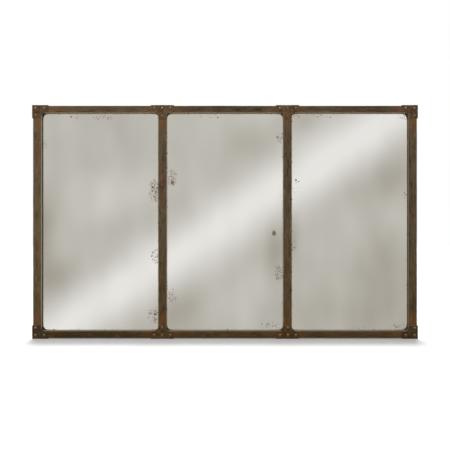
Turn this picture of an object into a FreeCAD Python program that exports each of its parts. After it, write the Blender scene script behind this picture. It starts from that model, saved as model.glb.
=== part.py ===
import FreeCAD, Part
import math
import os
import Sketcher

# Driving dimensions in millimetres. The glass side of the mirror faces -Y and the wall is the plane y = 0.
# The origin lies on the wall, midway between the pivots of the two hanging rings.
SIZES = {
    # The whole mirror, measured over the joint plates
    "overall_width": 1650,
    "overall_height": 1000,
    "ring_drop": 90,
    # Bars: folded sheet covers over timber cores
    "stile_face": 35,
    "rail_face": 30,
    "cover_sheet": 1.5,
    "fold_radius": 1.5,
    "core_ease": 1,
    # Glass, backing board and their rebate
    "glass_setback": 14,
    "glass_thickness": 4,
    "glass_gap": 1,
    "rebate_width": 8,
    "board_thickness": 6,
    "board_recess": 1.5,
    # Joint plates
    "plate_thickness": 3,
    "plate_edge_radius": 2.5,
    "plate_turnover": 20,
    "web_radius": 20,
    "corner_rail_end": 10,
    "corner_stile_end": 4,
    "tee_rail_end": 11.5,
    "tee_stem_end": 6,
    # Dome-headed nails with square shanks: a shank's radius runs to its corners
    "nail_head_radius": 5.8,
    "nail_head_height": 3,
    "nail_shank_radius": 1.8,
    "nail_length": 20,
    "nail_point": 4,
    "nail_edge_inset": 12.5,
    "nail_rail_margin": 15,
    "nail_stem_margin": 11,
    "nail_play": 0.15,
    # Offset clips behind the boards
    "clip_sheet": 1.2,
    "clip_width": 14,
    "clip_reach": 9,
    "clip_margin": 3,
    "clip_screw_radius": 1.5,
    "clip_screw_length": 12,
    "clip_head_radius": 3,
    "clip_head_height": 1.8,
    # Strap hangers and D-rings
    "strap_sheet": 1.5,
    "strap_width": 18,
    "strap_length": 58,
    "strap_end_radius": 6,
    "strap_screw_top": 34,
    "strap_screw_pitch": 15,
    "strap_screw_radius": 2,
    "strap_screw_length": 18,
    "strap_head_radius": 4,
    "strap_head_height": 2.2,
    "ring_wire_radius": 2,
    "ring_play": 0.3,
    "ring_side_gap": 1,
    "ring_corner_radius": 4,
    "ring_leg": 3,
    "wall_clearance": 0.4,
    # Rubber bumpers
    "bumper_base_radius": 9,
    "bumper_bevel": 1.5,
    "bumper_slope": 5,
    "bumper_inset": 45,
    # General fits
    "screw_play": 0.2,
    "cut_overrun": 1,
}
PANES = ("left", "centre", "right")
SIDES = {"left": -1, "right": 1}
LEVELS = {"top": 1, "bottom": -1}
# Places of the clips along a pane's edges, as shares of half its length. The two panes beside a mullion
# differ, so that their clips stand side by side on it.
OUTER_CLIP_SHARE = 0.62
CENTRE_CLIP_SHARE = 0.5
# How far round the ring's wire the strap's end is rolled, counted from the bar's back.
ROLL_DEGREES = 235
# Flat sides that stand for round forms, and a square nail's sides
NAIL_HEAD_SIDES = 10
NAIL_SHANK_SIDES = 4
SCREW_HEAD_SIDES = 8
SCREW_SHANK_SIDES = 6
STRAP_HOLE_SIDES = 10
BUMPER_SIDES = 20
WIRE_SIDES = 10
# Straight steps in a quarter turn of the ring's two corners and of its bow
CORNER_STEPS = 3
BOW_STEPS = 6
# How much of a dome's height slopes, how far in from its radius, and how far a shank's point slopes in
DOME_RISE_SHARE = 0.65
DOME_SPREAD_SHARE = 0.5
POINT_SHARE = 0.55
# Closeness at which coordinates or directions count as the same, and the digits kept of a turn's cosine
NEAR = 1e-3
ALIGNED = 1e-6
DIGITS = 9

doc = FreeCAD.newDocument("TriptychMirror")
sheet = doc.addObject("Spreadsheet::Sheet", "Sizes")
for row, (alias, number) in enumerate(SIZES.items(), start=1):
    sheet.set("A%d" % row, alias)
    sheet.set("B%d" % row, str(number))
    sheet.setAlias("B%d" % row, alias)
doc.recompute()


class Size:
    """A length worked out from the sheet: its present value, and the expression that binds to it."""

    def __init__(self, text, value):
        self.text = text
        self.value = value

    def join(self, sign, other, value):
        other_text = other.text if isinstance(other, Size) else repr(other)
        return Size("(%s %s %s)" % (self.text, sign, other_text), value)

    def __add__(self, other):
        return self.join("+", other, self.value + number(other))

    def __sub__(self, other):
        return self.join("-", other, self.value - number(other))

    def __mul__(self, other):
        return self.join("*", other, self.value * number(other))

    def __truediv__(self, other):
        return self.join("/", other, self.value / number(other))

    def __radd__(self, other):
        return self if other == 0 else self + other

    def __rmul__(self, other):
        return self * other

    def __rsub__(self, other):
        return other + self * -1

    def __neg__(self):
        return self * -1


def number(size):
    return size.value if isinstance(size, Size) else size


def text(size):
    return size.text if isinstance(size, Size) else repr(size)


class Cells:
    """The sheet's cells by name."""

    def __getattr__(self, alias):
        return Size("Sizes." + alias, float(getattr(sheet, alias)))


cell = Cells()

# Across the mirror: bars' outer faces, and the middles of uprights and panes
half_width = cell.overall_width / 2 - cell.plate_thickness
half_height = cell.overall_height / 2 - cell.plate_thickness
upright_pitch = (half_width * 2 - cell.stile_face) / len(PANES)
mullion_x = upright_pitch / 2
stile_x = half_width - cell.stile_face / 2
middle_z = cell.ring_drop - cell.overall_height / 2
inner_half_height = half_height - cell.rail_face

# From the wall forwards: the ring's roll sets how far the frame stands off
roll_radius = cell.ring_wire_radius + cell.ring_play + cell.strap_sheet
bore_radius = cell.ring_wire_radius + cell.ring_play
stand_off = roll_radius * 2 + cell.wall_clearance
rebate_depth = cell.glass_thickness + cell.board_thickness + cell.board_recess
core_front_depth = cell.glass_setback - cell.cover_sheet
back_y = -stand_off
glass_y = back_y - rebate_depth
core_front_y = glass_y - core_front_depth
front_y = core_front_y - cell.cover_sheet
plate_y = front_y - cell.plate_thickness
board_y = glass_y + cell.glass_thickness
pivot_y = back_y + roll_radius

# Bars and rebates
outer_bend = cell.fold_radius + cell.cover_sheet
core_edge = cell.fold_radius + cell.core_ease
core_inset = cell.cover_sheet
tongue_half = cell.stile_face / 2 - cell.cover_sheet - cell.rebate_width
rebate_inset = cell.cover_sheet + cell.rebate_width
pane_half = upright_pitch / 2 - tongue_half - cell.glass_gap
pane_half_height = inner_half_height + rebate_inset - cell.glass_gap
clip_base = tongue_half * 2 - cell.clip_margin
nail_bite = cell.nail_length - cell.plate_thickness - cell.cover_sheet + cell.nail_play
nail_hole = cell.nail_shank_radius + cell.nail_play
corner_width = cell.stile_face + cell.web_radius + cell.corner_rail_end
corner_height = cell.rail_face + cell.web_radius + cell.corner_stile_end
tee_half = cell.stile_face / 2 + cell.web_radius + cell.tee_rail_end
tee_height = cell.rail_face + cell.web_radius + cell.tee_stem_end
strap_x = half_width - cell.cover_sheet - (cell.stile_face - cell.cover_sheet - rebate_inset) / 2


def new_body(name):
    body = doc.addObject("PartDesign::Body", name)
    body.Label = name
    return body


def new_sketch(body, role, offset=0):
    """A sketch on one of the body's own origin planes, moved along that plane's normal."""
    plane = [feature for feature in body.Origin.OriginFeatures if feature.Role == role][0]
    sketch = body.newObject("Sketcher::SketchObject", body.Name + "_sketch")
    sketch.AttachmentSupport = [(plane, "")]
    sketch.MapMode = "FlatFace"
    if isinstance(offset, Size):
        sketch.setExpression("AttachmentOffset.Base.z", offset.text)
    return sketch


def pin(sketch, edge, end, u, v):
    """Fixes one end of an edge at (u, v)."""
    for kind, axis, size in (("DistanceX", -2, u), ("DistanceY", -1, v)):
        if isinstance(size, Size):
            fixed = sketch.addConstraint(Sketcher.Constraint(kind, -1, 1, edge, end, size.value))
            sketch.setExpression("Constraints[%d]" % fixed, size.text)
        else:
            sketch.addConstraint(Sketcher.Constraint("PointOnObject", edge, end, axis))


def arc_through(start, stop, radius, side):
    """An arc of that radius between two points, its centre on the left (1) or right (-1) of the way."""
    middle = (start + stop) / 2
    half = (stop - start) / 2
    rise = math.sqrt(max(radius ** 2 - half.Length ** 2, 0))
    left = FreeCAD.Vector(-half.y, half.x, 0).normalize()
    centre = middle + left * rise * side
    angles = [math.atan2(point.y - centre.y, point.x - centre.x) for point in (start, stop)]
    if side < 0:
        angles.reverse()
    circle = Part.Circle(centre, FreeCAD.Vector(0, 0, 1), radius)
    return Part.ArcOfCircle(circle, angles[0], angles[1])


def draw(sketch, points, arcs=None):
    """A closed outline through the points. arcs maps an edge's number to (radius, side)."""
    arcs = arcs or {}
    count = len(points)
    places = [FreeCAD.Vector(number(u), number(v), 0) for u, v in points]
    first = sketch.GeometryCount
    ends = []
    for index in range(count):
        start, stop = places[index], places[(index + 1) % count]
        if index in arcs:
            radius, side = arcs[index]
            sketch.addGeometry(arc_through(start, stop, number(radius), side), False)
            ends.append((1, 2) if side > 0 else (2, 1))
        else:
            sketch.addGeometry(Part.LineSegment(start, stop), False)
            ends.append((1, 2))
    for index in range(count):
        edge, following = first + index, first + (index + 1) % count
        meeting = (edge, ends[index][1], following, ends[(index + 1) % count][0])
        sketch.addConstraint(Sketcher.Constraint("Coincident", *meeting))
        pin(sketch, edge, ends[index][0], *points[index])
    for index, (radius, side) in arcs.items():
        fixed = sketch.addConstraint(Sketcher.Constraint("Radius", first + index, number(radius)))
        sketch.setExpression("Constraints[%d]" % fixed, text(radius))


def draw_rounded(sketch, corners):
    """A closed outline of level and upright edges. A corner is (u, v) or (u, v, radius)."""
    points, arcs = [], {}
    count = len(corners)
    places = [(number(corner[0]), number(corner[1])) for corner in corners]
    for index, corner in enumerate(corners):
        if len(corner) == 2:
            points.append(corner)
            continue
        u, v, radius = corner
        here, before, after = places[index], places[index - 1], places[(index + 1) % count]
        entry = [way_of(old - new) for old, new in zip(before, here)]
        leave = [way_of(old - new) for old, new in zip(after, here)]
        turn = entry[1] * leave[0] - entry[0] * leave[1]
        arcs[len(points)] = (radius, 1 if turn > 0 else -1)
        points.append((moved(u, radius, entry[0]), moved(v, radius, entry[1])))
        points.append((moved(u, radius, leave[0]), moved(v, radius, leave[1])))
    draw(sketch, points, arcs)


def way_of(distance):
    """1 or -1 for a distance's sign, and 0 for none."""
    return math.copysign(1, distance) if abs(distance) > ALIGNED else 0


def moved(size, radius, way):
    return size + radius * int(way) if way else size


def arc_points(u, v, radius, start, stop, steps):
    """Points on an arc about (u, v), both ends included, from one angle in degrees to another."""
    points = []
    for index in range(steps + 1):
        turn = math.radians(start + (stop - start) * index / steps)
        along, across = round(math.cos(turn), DIGITS), round(math.sin(turn), DIGITS)
        points.append((u + radius * along, v + radius * across))
    return points


def draw_polygons(sketch, centres, radius, sides):
    """Regular polygons with corners at that radius, a flat side towards +u."""
    half_step = 180 / sides
    for u, v in centres:
        draw(sketch, arc_points(u, v, radius, half_step, 360 - half_step, sides - 1))


def pad(body, sketch, length, midplane=False):
    feature = body.newObject("PartDesign::Pad", body.Name + "_pad")
    feature.Profile = sketch
    feature.setExpression("Length", text(length))
    feature.Midplane = midplane
    doc.recompute()
    return feature


def pocket(body, sketch, length, forwards=False):
    """Cuts towards the wall, or forwards, away from it. Raises if nothing was cut."""
    before = body.Shape.Volume
    feature = body.newObject("PartDesign::Pocket", body.Name + "_pocket")
    feature.Profile = sketch
    feature.setExpression("Length", text(length))
    feature.Reversed = forwards
    doc.recompute()
    if body.Shape.Volume >= before:
        raise RuntimeError("%s: the pocket cut nothing" % body.Name)
    return feature


def prism(body, sides, radius, length, to_wall):
    """A many-sided pad standing on the XZ plane, towards the wall or away from it."""
    sketch = new_sketch(body, "XZ_Plane")
    draw_polygons(sketch, [(0, 0)], radius, sides)
    pad(body, sketch, length).Reversed = to_wall
    doc.recompute()


def slope_end(body, y, along, across):
    """Slopes the sides of a many-sided form's end at that y: so far along Y, and so far across."""
    solid = body.Tip
    names = []
    for index, edge in enumerate(solid.Shape.Edges, start=1):
        if all(abs(corner.Y - number(y)) < NEAR for corner in edge.Vertexes):
            names.append("Edge%d" % index)
    feature = body.newObject("PartDesign::Chamfer", body.Name + "_slope")
    feature.Base = (solid, names)
    feature.ChamferType = "Two distances"
    feature.setExpression("Size", text(along))
    feature.setExpression("Size2", text(across))
    doc.recompute()


def edges_along(shape, direction, place):
    """Names of the straight edges along a direction whose middle lies at place. None matches anything."""
    found = []
    for index, edge in enumerate(shape.Edges, start=1):
        if len(edge.Vertexes) != 2:
            continue
        run = edge.Vertexes[1].Point - edge.Vertexes[0].Point
        if run.Length < NEAR or abs(abs(run.normalize().dot(direction)) - 1) > ALIGNED:
            continue
        middle = edge.CenterOfMass
        if all(want is None or abs(want - got) < NEAR for want, got in zip(place, middle)):
            found.append("Edge%d" % index)
    return found


def fillet(body, names, radius):
    solid = body.Tip
    feature = body.newObject("PartDesign::Fillet", body.Name + "_fillet")
    feature.Base = (solid, names)
    feature.setExpression("Radius", text(radius))
    doc.recompute()
    return feature


def channel(outer, inner, side, outer_end, inner_end):
    """A folded sheet channel open to the back, between two faces. side says which way outer lies."""
    sheet_in = cell.cover_sheet * side
    return [
        (outer, outer_end),
        (outer, front_y, outer_bend),
        (inner, front_y, outer_bend),
        (inner, inner_end),
        (inner + sheet_in, inner_end),
        (inner + sheet_in, core_front_y, cell.fold_radius),
        (outer - sheet_in, core_front_y, cell.fold_radius),
        (outer - sheet_in, outer_end),
    ]


def nail_places():
    """Each plate's nails as (x, z), by plate name."""
    places = {}
    nail_x, nail_z = half_width - cell.nail_edge_inset, half_height - cell.nail_edge_inset
    arm_x = half_width - corner_width + cell.nail_rail_margin
    stem_z = half_height - corner_height + cell.nail_stem_margin
    row_x = tee_half - cell.nail_rail_margin
    tee_stem_z = half_height - tee_height + cell.nail_stem_margin
    for level, up in LEVELS.items():
        for name, side in SIDES.items():
            places["corner_%s_%s" % (level, name)] = [
                (nail_x * side, middle_z + nail_z * up),
                (arm_x * side, middle_z + nail_z * up),
                (nail_x * side, middle_z + stem_z * up),
            ]
            middle = mullion_x * side
            places["tee_%s_%s" % (level, name)] = [
                (middle - row_x, middle_z + nail_z * up),
                (middle, middle_z + nail_z * up),
                (middle + row_x, middle_z + nail_z * up),
                (middle, middle_z + tee_stem_z * up),
            ]
    return places


NAILS = nail_places()


def nails_on(low_x, high_x, low_z, high_z):
    """Every nail whose middle lies inside a bar's outline."""
    inside = []
    for places in NAILS.values():
        for x, z in places:
            if number(low_x) < x.value < number(high_x) and number(low_z) < z.value < number(high_z):
                inside.append((x, z))
    return inside


def clip_places():
    """Each pane's clips as (x, z, turn): the rebate's edge there, and the way out of the pane in degrees."""
    places = {}
    for index, pane in enumerate(PANES):
        middle = upright_pitch * (index - 1)
        side_x, end_z = pane_half + cell.glass_gap, pane_half_height + cell.glass_gap
        share = CENTRE_CLIP_SHARE if pane == "centre" else OUTER_CLIP_SHARE
        rows = [(middle, middle_z + end_z, 90), (middle, middle_z - end_z, 270)]
        for up in LEVELS.values():
            level_z = middle_z + pane_half_height * share * up
            rows.append((middle + side_x, level_z, 0))
            rows.append((middle - side_x, level_z, 180))
        places[pane] = rows
    return places


CLIPS = clip_places()


def clip_screw(x, z, turn):
    """The middle of a clip's screw."""
    out = clip_base / 2
    level, upright = round(math.cos(math.radians(turn))), round(math.sin(math.radians(turn)))
    return (x + out * level if level else x), (z + out * upright if upright else z)


def clip_screws_on(low_x, high_x, low_z, high_z):
    """Every clip screw whose middle lies inside a bar's outline."""
    inside = []
    for rows in CLIPS.values():
        for row in rows:
            x, z = clip_screw(*row)
            if number(low_x) < number(x) < number(high_x) and number(low_z) < number(z) < number(high_z):
                inside.append((x, z))
    return inside


def cut_nail_holes(body, places, depth):
    sketch = new_sketch(body, "XZ_Plane", -front_y)
    draw_polygons(sketch, places, nail_hole, NAIL_SHANK_SIDES)
    pocket(body, sketch, depth)


def cut_screw_holes(body, places, radius, depth):
    """Pilot holes from the back of a bar."""
    sketch = new_sketch(body, "XZ_Plane", -back_y)
    draw_polygons(sketch, places, radius, SCREW_SHANK_SIDES)
    pocket(body, sketch, depth, forwards=True)


def rail_cover(level):
    up = LEVELS[level]
    body = new_body("%s_rail_cover" % level)
    sketch = new_sketch(body, "YZ_Plane")
    outer, inner = middle_z + half_height * up, middle_z + inner_half_height * up
    corners = [corner[1::-1] + corner[2:] for corner in channel(outer, inner, up, back_y, glass_y)]
    draw_rounded(sketch, corners)
    pad(body, sketch, half_width * 2, midplane=True)
    low_z, high_z = sorted((outer, inner), key=number)
    cut_nail_holes(body, nails_on(-half_width, half_width, low_z, high_z), cell.cover_sheet)
    return body


def upright_cover(name, middle, side=0):
    """The cover of a stile, whose outer leg reaches the back, or of a mullion, where side is 0."""
    body = new_body(name)
    sketch = new_sketch(body, "XY_Plane", middle_z)
    way = side or 1
    outer, inner = middle + cell.stile_face / 2 * way, middle - cell.stile_face / 2 * way
    draw_rounded(sketch, channel(outer, inner, way, back_y if side else glass_y, glass_y))
    pad(body, sketch, inner_half_height * 2, midplane=True)
    low_x, high_x = middle - cell.stile_face / 2, middle + cell.stile_face / 2
    holes = nails_on(low_x, high_x, middle_z - inner_half_height, middle_z + inner_half_height)
    cut_nail_holes(body, holes, cell.cover_sheet)
    return body


def rail_core(level):
    """Timber in a rail: rebated along its inner back edge and notched at the back for the uprights."""
    up = LEVELS[level]
    body = new_body("%s_rail_core" % level)
    sketch = new_sketch(body, "YZ_Plane")
    outer = middle_z + (half_height - core_inset) * up
    inner = middle_z + (inner_half_height + core_inset) * up
    shoulder = middle_z + (inner_half_height + rebate_inset) * up
    draw_rounded(sketch, [
        (back_y, outer),
        (core_front_y, outer, core_edge),
        (core_front_y, inner, core_edge),
        (glass_y, inner),
        (glass_y, shoulder),
        (back_y, shoulder),
    ])
    pad(body, sketch, half_width * 2, midplane=True)
    notches = new_sketch(body, "XZ_Plane", -back_y)
    foot = shoulder - cell.cut_overrun * up
    head = outer + cell.cut_overrun * up
    for side in SIDES.values():
        end = (half_width + cell.cut_overrun) * side
        inside = (half_width - cell.stile_face + rebate_inset) * side
        draw_box(notches, end, foot, inside, head)
        draw_box(notches, mullion_x * side - tongue_half, foot, mullion_x * side + tongue_half, head)
    pocket(body, notches, rebate_depth, forwards=True)
    low_z, high_z = sorted((outer, inner), key=number)
    cut_core_holes(body, -half_width, half_width, low_z, high_z)
    return body


def draw_box(sketch, u, v, far_u, far_v):
    draw(sketch, [(u, v), (far_u, v), (far_u, far_v), (u, far_v)])


def cut_core_holes(body, low_x, high_x, low_z, high_z):
    """Nail holes from the front and clip screw holes from the back."""
    places = nails_on(low_x, high_x, low_z, high_z)
    cut_nail_holes(body, places, cell.cover_sheet + nail_bite)
    screws = clip_screws_on(low_x, high_x, low_z, high_z)
    depth = cell.clip_screw_length - cell.clip_sheet + cell.screw_play
    cut_screw_holes(body, screws, cell.clip_screw_radius + cell.nail_play, depth)


def upright_core(name, middle, side=0):
    """Timber in an upright: its back runs on into both rails as half-lap tongues."""
    body = new_body(name)
    way = side or 1
    outer = middle + (cell.stile_face / 2 - core_inset) * way
    inner = middle - (cell.stile_face / 2 - core_inset) * way
    section = new_sketch(body, "XY_Plane", middle_z)
    draw_rounded(section, [
        (outer, glass_y),
        (outer, core_front_y, core_edge),
        (inner, core_front_y, core_edge),
        (inner, glass_y),
    ])
    pad(body, section, inner_half_height * 2, midplane=True)
    tongue = new_sketch(body, "XY_Plane", middle_z)
    tongue_outer = outer if side else middle + tongue_half
    draw_box(tongue, tongue_outer, glass_y, middle - tongue_half * way, back_y)
    pad(body, tongue, (half_height - core_inset) * 2, midplane=True)
    low_x, high_x = middle - cell.stile_face / 2, middle + cell.stile_face / 2
    cut_core_holes(body, low_x, high_x, middle_z - half_height, middle_z + half_height)
    if side:
        depth = cell.strap_screw_length - cell.strap_sheet + cell.screw_play
        cut_screw_holes(body, strap_screws(side), cell.strap_screw_radius + cell.nail_play, depth)
    return body


def strap_screws(side):
    first = -cell.strap_screw_top
    return [(strap_x * side, first), (strap_x * side, first - cell.strap_screw_pitch)]


def corner_plate(level, name):
    """An L-shaped plate with a concave inner corner, turned over the frame's two outer edges."""
    up, side = LEVELS[level], SIDES[name]
    body = new_body("corner_plate_%s_%s" % (level, name))
    edge_x = (half_width + cell.plate_thickness) * side
    edge_z = middle_z + (half_height + cell.plate_thickness) * up
    bar_x, bar_z = (half_width - cell.stile_face) * side, middle_z + inner_half_height * up
    end_x, end_z = (half_width - corner_width) * side, middle_z + (half_height - corner_height) * up
    leaf = new_sketch(body, "XZ_Plane", -front_y)
    draw_rounded(leaf, [
        (edge_x, edge_z),
        (end_x, edge_z),
        (end_x, bar_z),
        (bar_x, bar_z, cell.web_radius),
        (bar_x, end_z),
        (edge_x, end_z),
    ])
    pad(body, leaf, cell.plate_thickness)
    turned = new_sketch(body, "XZ_Plane", -(front_y + cell.plate_turnover))
    face_x, face_z = half_width * side, middle_z + half_height * up
    draw(turned, [
        (edge_x, edge_z),
        (end_x, edge_z),
        (end_x, face_z),
        (face_x, face_z),
        (face_x, end_z),
        (edge_x, end_z),
    ])
    pad(body, turned, cell.plate_turnover)
    x, y, z = edge_x.value, plate_y.value, edge_z.value
    names = edges_along(body.Shape, FreeCAD.Vector(1, 0, 0), (None, y, z))
    names += edges_along(body.Shape, FreeCAD.Vector(0, 0, 1), (x, y, None))
    names += edges_along(body.Shape, FreeCAD.Vector(0, 1, 0), (x, None, z))
    fillet(body, names, cell.plate_edge_radius)
    cut_plate_holes(body, NAILS["corner_%s_%s" % (level, name)])
    return body


def tee_plate(level, name):
    """A T-shaped plate with a concave corner on each side of its stem, turned over the rail's edge."""
    up, middle = LEVELS[level], mullion_x * SIDES[name]
    body = new_body("tee_plate_%s_%s" % (level, name))
    edge_z = middle_z + (half_height + cell.plate_thickness) * up
    bar_z = middle_z + inner_half_height * up
    end_z = middle_z + (half_height - tee_height) * up
    stem_low, stem_high = middle - cell.stile_face / 2, middle + cell.stile_face / 2
    leaf = new_sketch(body, "XZ_Plane", -front_y)
    draw_rounded(leaf, [
        (middle - tee_half, edge_z),
        (middle - tee_half, bar_z),
        (stem_low, bar_z, cell.web_radius),
        (stem_low, end_z),
        (stem_high, end_z),
        (stem_high, bar_z, cell.web_radius),
        (middle + tee_half, bar_z),
        (middle + tee_half, edge_z),
    ])
    pad(body, leaf, cell.plate_thickness)
    turned = new_sketch(body, "XZ_Plane", -(front_y + cell.plate_turnover))
    draw_box(turned, middle - tee_half, edge_z, middle + tee_half, middle_z + half_height * up)
    pad(body, turned, cell.plate_turnover)
    names = edges_along(body.Shape, FreeCAD.Vector(1, 0, 0), (None, plate_y.value, edge_z.value))
    fillet(body, names, cell.plate_edge_radius)
    cut_plate_holes(body, NAILS["tee_%s_%s" % (level, name)])
    return body


def cut_plate_holes(body, places):
    sketch = new_sketch(body, "XZ_Plane", -(plate_y - cell.cut_overrun))
    draw_polygons(sketch, places, nail_hole, NAIL_SHANK_SIDES)
    pocket(body, sketch, cell.plate_thickness + cell.cut_overrun)


def headed_pin(name, sides, head, rise, shank, length, point, to_wall):
    """A domed head and a pointed shank along Y, its head's underside at the origin."""
    body = new_body(name)
    way = 1 if to_wall else -1
    prism(body, sides[0], head, rise, not to_wall)
    slope_end(body, rise * -way, rise * DOME_RISE_SHARE, head * DOME_SPREAD_SHARE)
    prism(body, sides[1], shank, length, to_wall)
    slope_end(body, length * way, point, shank * POINT_SHARE)
    return body


def master_nail():
    """One dome-headed nail, pointing to the wall."""
    sides = (NAIL_HEAD_SIDES, NAIL_SHANK_SIDES)
    head, rise, shank = cell.nail_head_radius, cell.nail_head_height, cell.nail_shank_radius
    return headed_pin("nail", sides, head, rise, shank, cell.nail_length, cell.nail_point, True)


def master_screw(kind):
    """One round-headed screw, driven in from the back."""
    sides = (SCREW_HEAD_SIDES, SCREW_SHANK_SIDES)
    head, rise, shank, length = [
        getattr(cell, "%s_%s" % (kind, size))
        for size in ("head_radius", "head_height", "screw_radius", "screw_length")
    ]
    return headed_pin(kind + "_screw", sides, head, rise, shank, length, shank, False)


def master_clip():
    """One offset clip: its base lies on the bar's back, out along +X, and its tab on the board."""
    body = new_body("clip")
    sketch = new_sketch(body, "XY_Plane")
    thick, drop = cell.clip_sheet, cell.board_recess
    draw(sketch, [
        (clip_base, 0),
        (0, 0),
        (0, -drop),
        (-cell.clip_reach, -drop),
        (-cell.clip_reach, thick - drop),
        (-thick, thick - drop),
        (-thick, thick),
        (clip_base, thick),
    ])
    pad(body, sketch, cell.clip_width, midplane=True)
    hole = new_sketch(body, "XZ_Plane", cell.cut_overrun)
    draw_polygons(hole, [(clip_base / 2, 0)], cell.clip_screw_radius + cell.screw_play, SCREW_HEAD_SIDES)
    pocket(body, hole, thick + cell.cut_overrun * 2)
    return body


def group(name, master, rows):
    """Copies of one fastener in one node. A row is (x, y, z, turn about Y in degrees)."""
    copies = []
    for x, y, z, turn in rows:
        copy = doc.addObject("App::Link", name + "_copy")
        copy.LinkedObject = master
        copy.Placement.Rotation = FreeCAD.Rotation(FreeCAD.Vector(0, -1, 0), turn)
        for axis, size in zip("xyz", (x, y, z)):
            copy.setExpression("Placement.Base." + axis, text(size))
        copies.append(copy)
    compound = doc.addObject("Part::Compound", name)
    compound.Label = name
    compound.Links = copies
    return compound


def box(name, low, spans):
    """A plain slab, from its lowest corner."""
    slab = doc.addObject("Part::Box", name)
    slab.Label = name
    for prop, size in zip(("Length", "Width", "Height"), spans):
        slab.setExpression(prop, text(size))
    for axis, size in zip("xyz", low):
        slab.setExpression("Placement.Base." + axis, text(size))
    return slab


def pane_and_board(index, pane):
    middle = upright_pitch * (index - 1)
    low_x, low_z = middle - pane_half, middle_z - pane_half_height
    width, height = pane_half * 2, pane_half_height * 2
    glass = box("%s_mirror" % pane, (low_x, glass_y, low_z), (width, cell.glass_thickness, height))
    board = box("%s_backing_board" % pane, (low_x, board_y, low_z), (width, cell.board_thickness, height))
    return [glass, board]


def hanger_strap(name, side):
    """A strap whose top end is rolled round the ring's bar, with two screw holes."""
    body = new_body("%s_hanger_strap" % name)
    sketch = new_sketch(body, "YZ_Plane", strap_x * side)
    turn = math.radians(180 - ROLL_DEGREES)
    tip_cos, tip_sin = math.cos(turn), math.sin(turn)
    draw(sketch, [
        (back_y, -cell.strap_length),
        (back_y, 0),
        (pivot_y, roll_radius),
        (pivot_y + roll_radius * tip_cos, roll_radius * tip_sin),
        (pivot_y + bore_radius * tip_cos, bore_radius * tip_sin),
        (pivot_y, bore_radius),
        (back_y + cell.strap_sheet, 0),
        (back_y + cell.strap_sheet, -cell.strap_length),
    ], {1: (roll_radius, -1), 2: (roll_radius, -1), 4: (bore_radius, 1), 5: (bore_radius, 1)})
    pad(body, sketch, cell.strap_width, midplane=True)
    x = strap_x.value * side
    half = cell.strap_width.value / 2
    names = []
    for corner_x in (x - half, x + half):
        names += edges_along(body.Shape, FreeCAD.Vector(0, 1, 0), (corner_x, None, -cell.strap_length.value))
    fillet(body, names, cell.strap_end_radius)
    holes = new_sketch(body, "XZ_Plane", -(back_y - cell.cut_overrun))
    draw_polygons(holes, strap_screws(side), cell.strap_screw_radius + cell.screw_play, STRAP_HOLE_SIDES)
    pocket(body, holes, cell.strap_sheet + cell.cut_overrun * 2)
    return body


def hanger_ring(name, side):
    """A D-ring of wire: its bar lies in the strap's roll and its bow hangs down."""
    body = new_body("%s_hanger_ring" % name)
    middle = strap_x * side
    half = cell.strap_width / 2 + cell.ring_side_gap + cell.ring_wire_radius
    bend = cell.ring_corner_radius
    foot = -(bend + cell.ring_leg)
    path = new_sketch(body, "XZ_Plane", -pivot_y)
    points = [(middle, 0)]
    points += arc_points(middle + half - bend, -bend, bend, 90, 0, CORNER_STEPS)
    points += arc_points(middle, foot, half, 0, -180, BOW_STEPS * 2)
    points += arc_points(middle - half + bend, -bend, bend, 180, 90, CORNER_STEPS)
    draw(path, points)
    wire = new_sketch(body, "YZ_Plane", middle)
    draw_polygons(wire, [(pivot_y, 0)], cell.ring_wire_radius, WIRE_SIDES)
    sweep = body.newObject("PartDesign::AdditivePipe", body.Name + "_pipe")
    sweep.Profile = wire
    sweep.Spine = path
    sweep.Transition = "Right corner"
    doc.recompute()
    return body


def wall_bumper(level, name):
    """A tapered rubber bumper on the back of a stile."""
    up, side = LEVELS[level], SIDES[name]
    body = new_body("wall_bumper_%s_%s" % (level, name))
    prism(body, BUMPER_SIDES, cell.bumper_base_radius, stand_off, False)
    slope_end(body, 0, cell.bumper_slope, cell.bumper_bevel)
    body.setExpression("Placement.Base.x", text(strap_x * side))
    body.setExpression("Placement.Base.z", text(middle_z + (half_height - cell.bumper_inset) * up))
    return body


def build():
    """Every sub-part of the mirror."""
    parts = []
    for level in LEVELS:
        parts += [rail_cover(level), rail_core(level)]
    for name, side in SIDES.items():
        parts.append(upright_cover("%s_stile_cover" % name, stile_x * side, side))
        parts.append(upright_core("%s_stile_core" % name, stile_x * side, side))
        parts.append(upright_cover("%s_mullion_cover" % name, mullion_x * side))
        parts.append(upright_core("%s_mullion_core" % name, mullion_x * side))
        parts += [hanger_strap(name, side), hanger_ring(name, side)]
    nail = master_nail()
    for level in LEVELS:
        for name in SIDES:
            parts += [corner_plate(level, name), tee_plate(level, name), wall_bumper(level, name)]
    for plate, places in NAILS.items():
        parts.append(group("nails_" + plate, nail, [(x, plate_y, z, 0) for x, z in places]))
    clip = master_clip()
    clip_screw_master, strap_screw_master = master_screw("clip"), master_screw("strap")
    for index, pane in enumerate(PANES):
        parts += pane_and_board(index, pane)
        rows = [(x, back_y, z, turn) for x, z, turn in CLIPS[pane]]
        parts.append(group("%s_board_clips" % pane, clip, rows))
        screws = [clip_screw(*row) for row in CLIPS[pane]]
        rows = [(x, back_y + cell.clip_sheet, z, 0) for x, z in screws]
        parts.append(group("%s_clip_screws" % pane, clip_screw_master, rows))
    for name, side in SIDES.items():
        rows = [(x, back_y + cell.strap_sheet, z, 0) for x, z in strap_screws(side)]
        parts.append(group("%s_hanger_screws" % name, strap_screw_master, rows))
    doc.recompute()
    return parts


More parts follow.
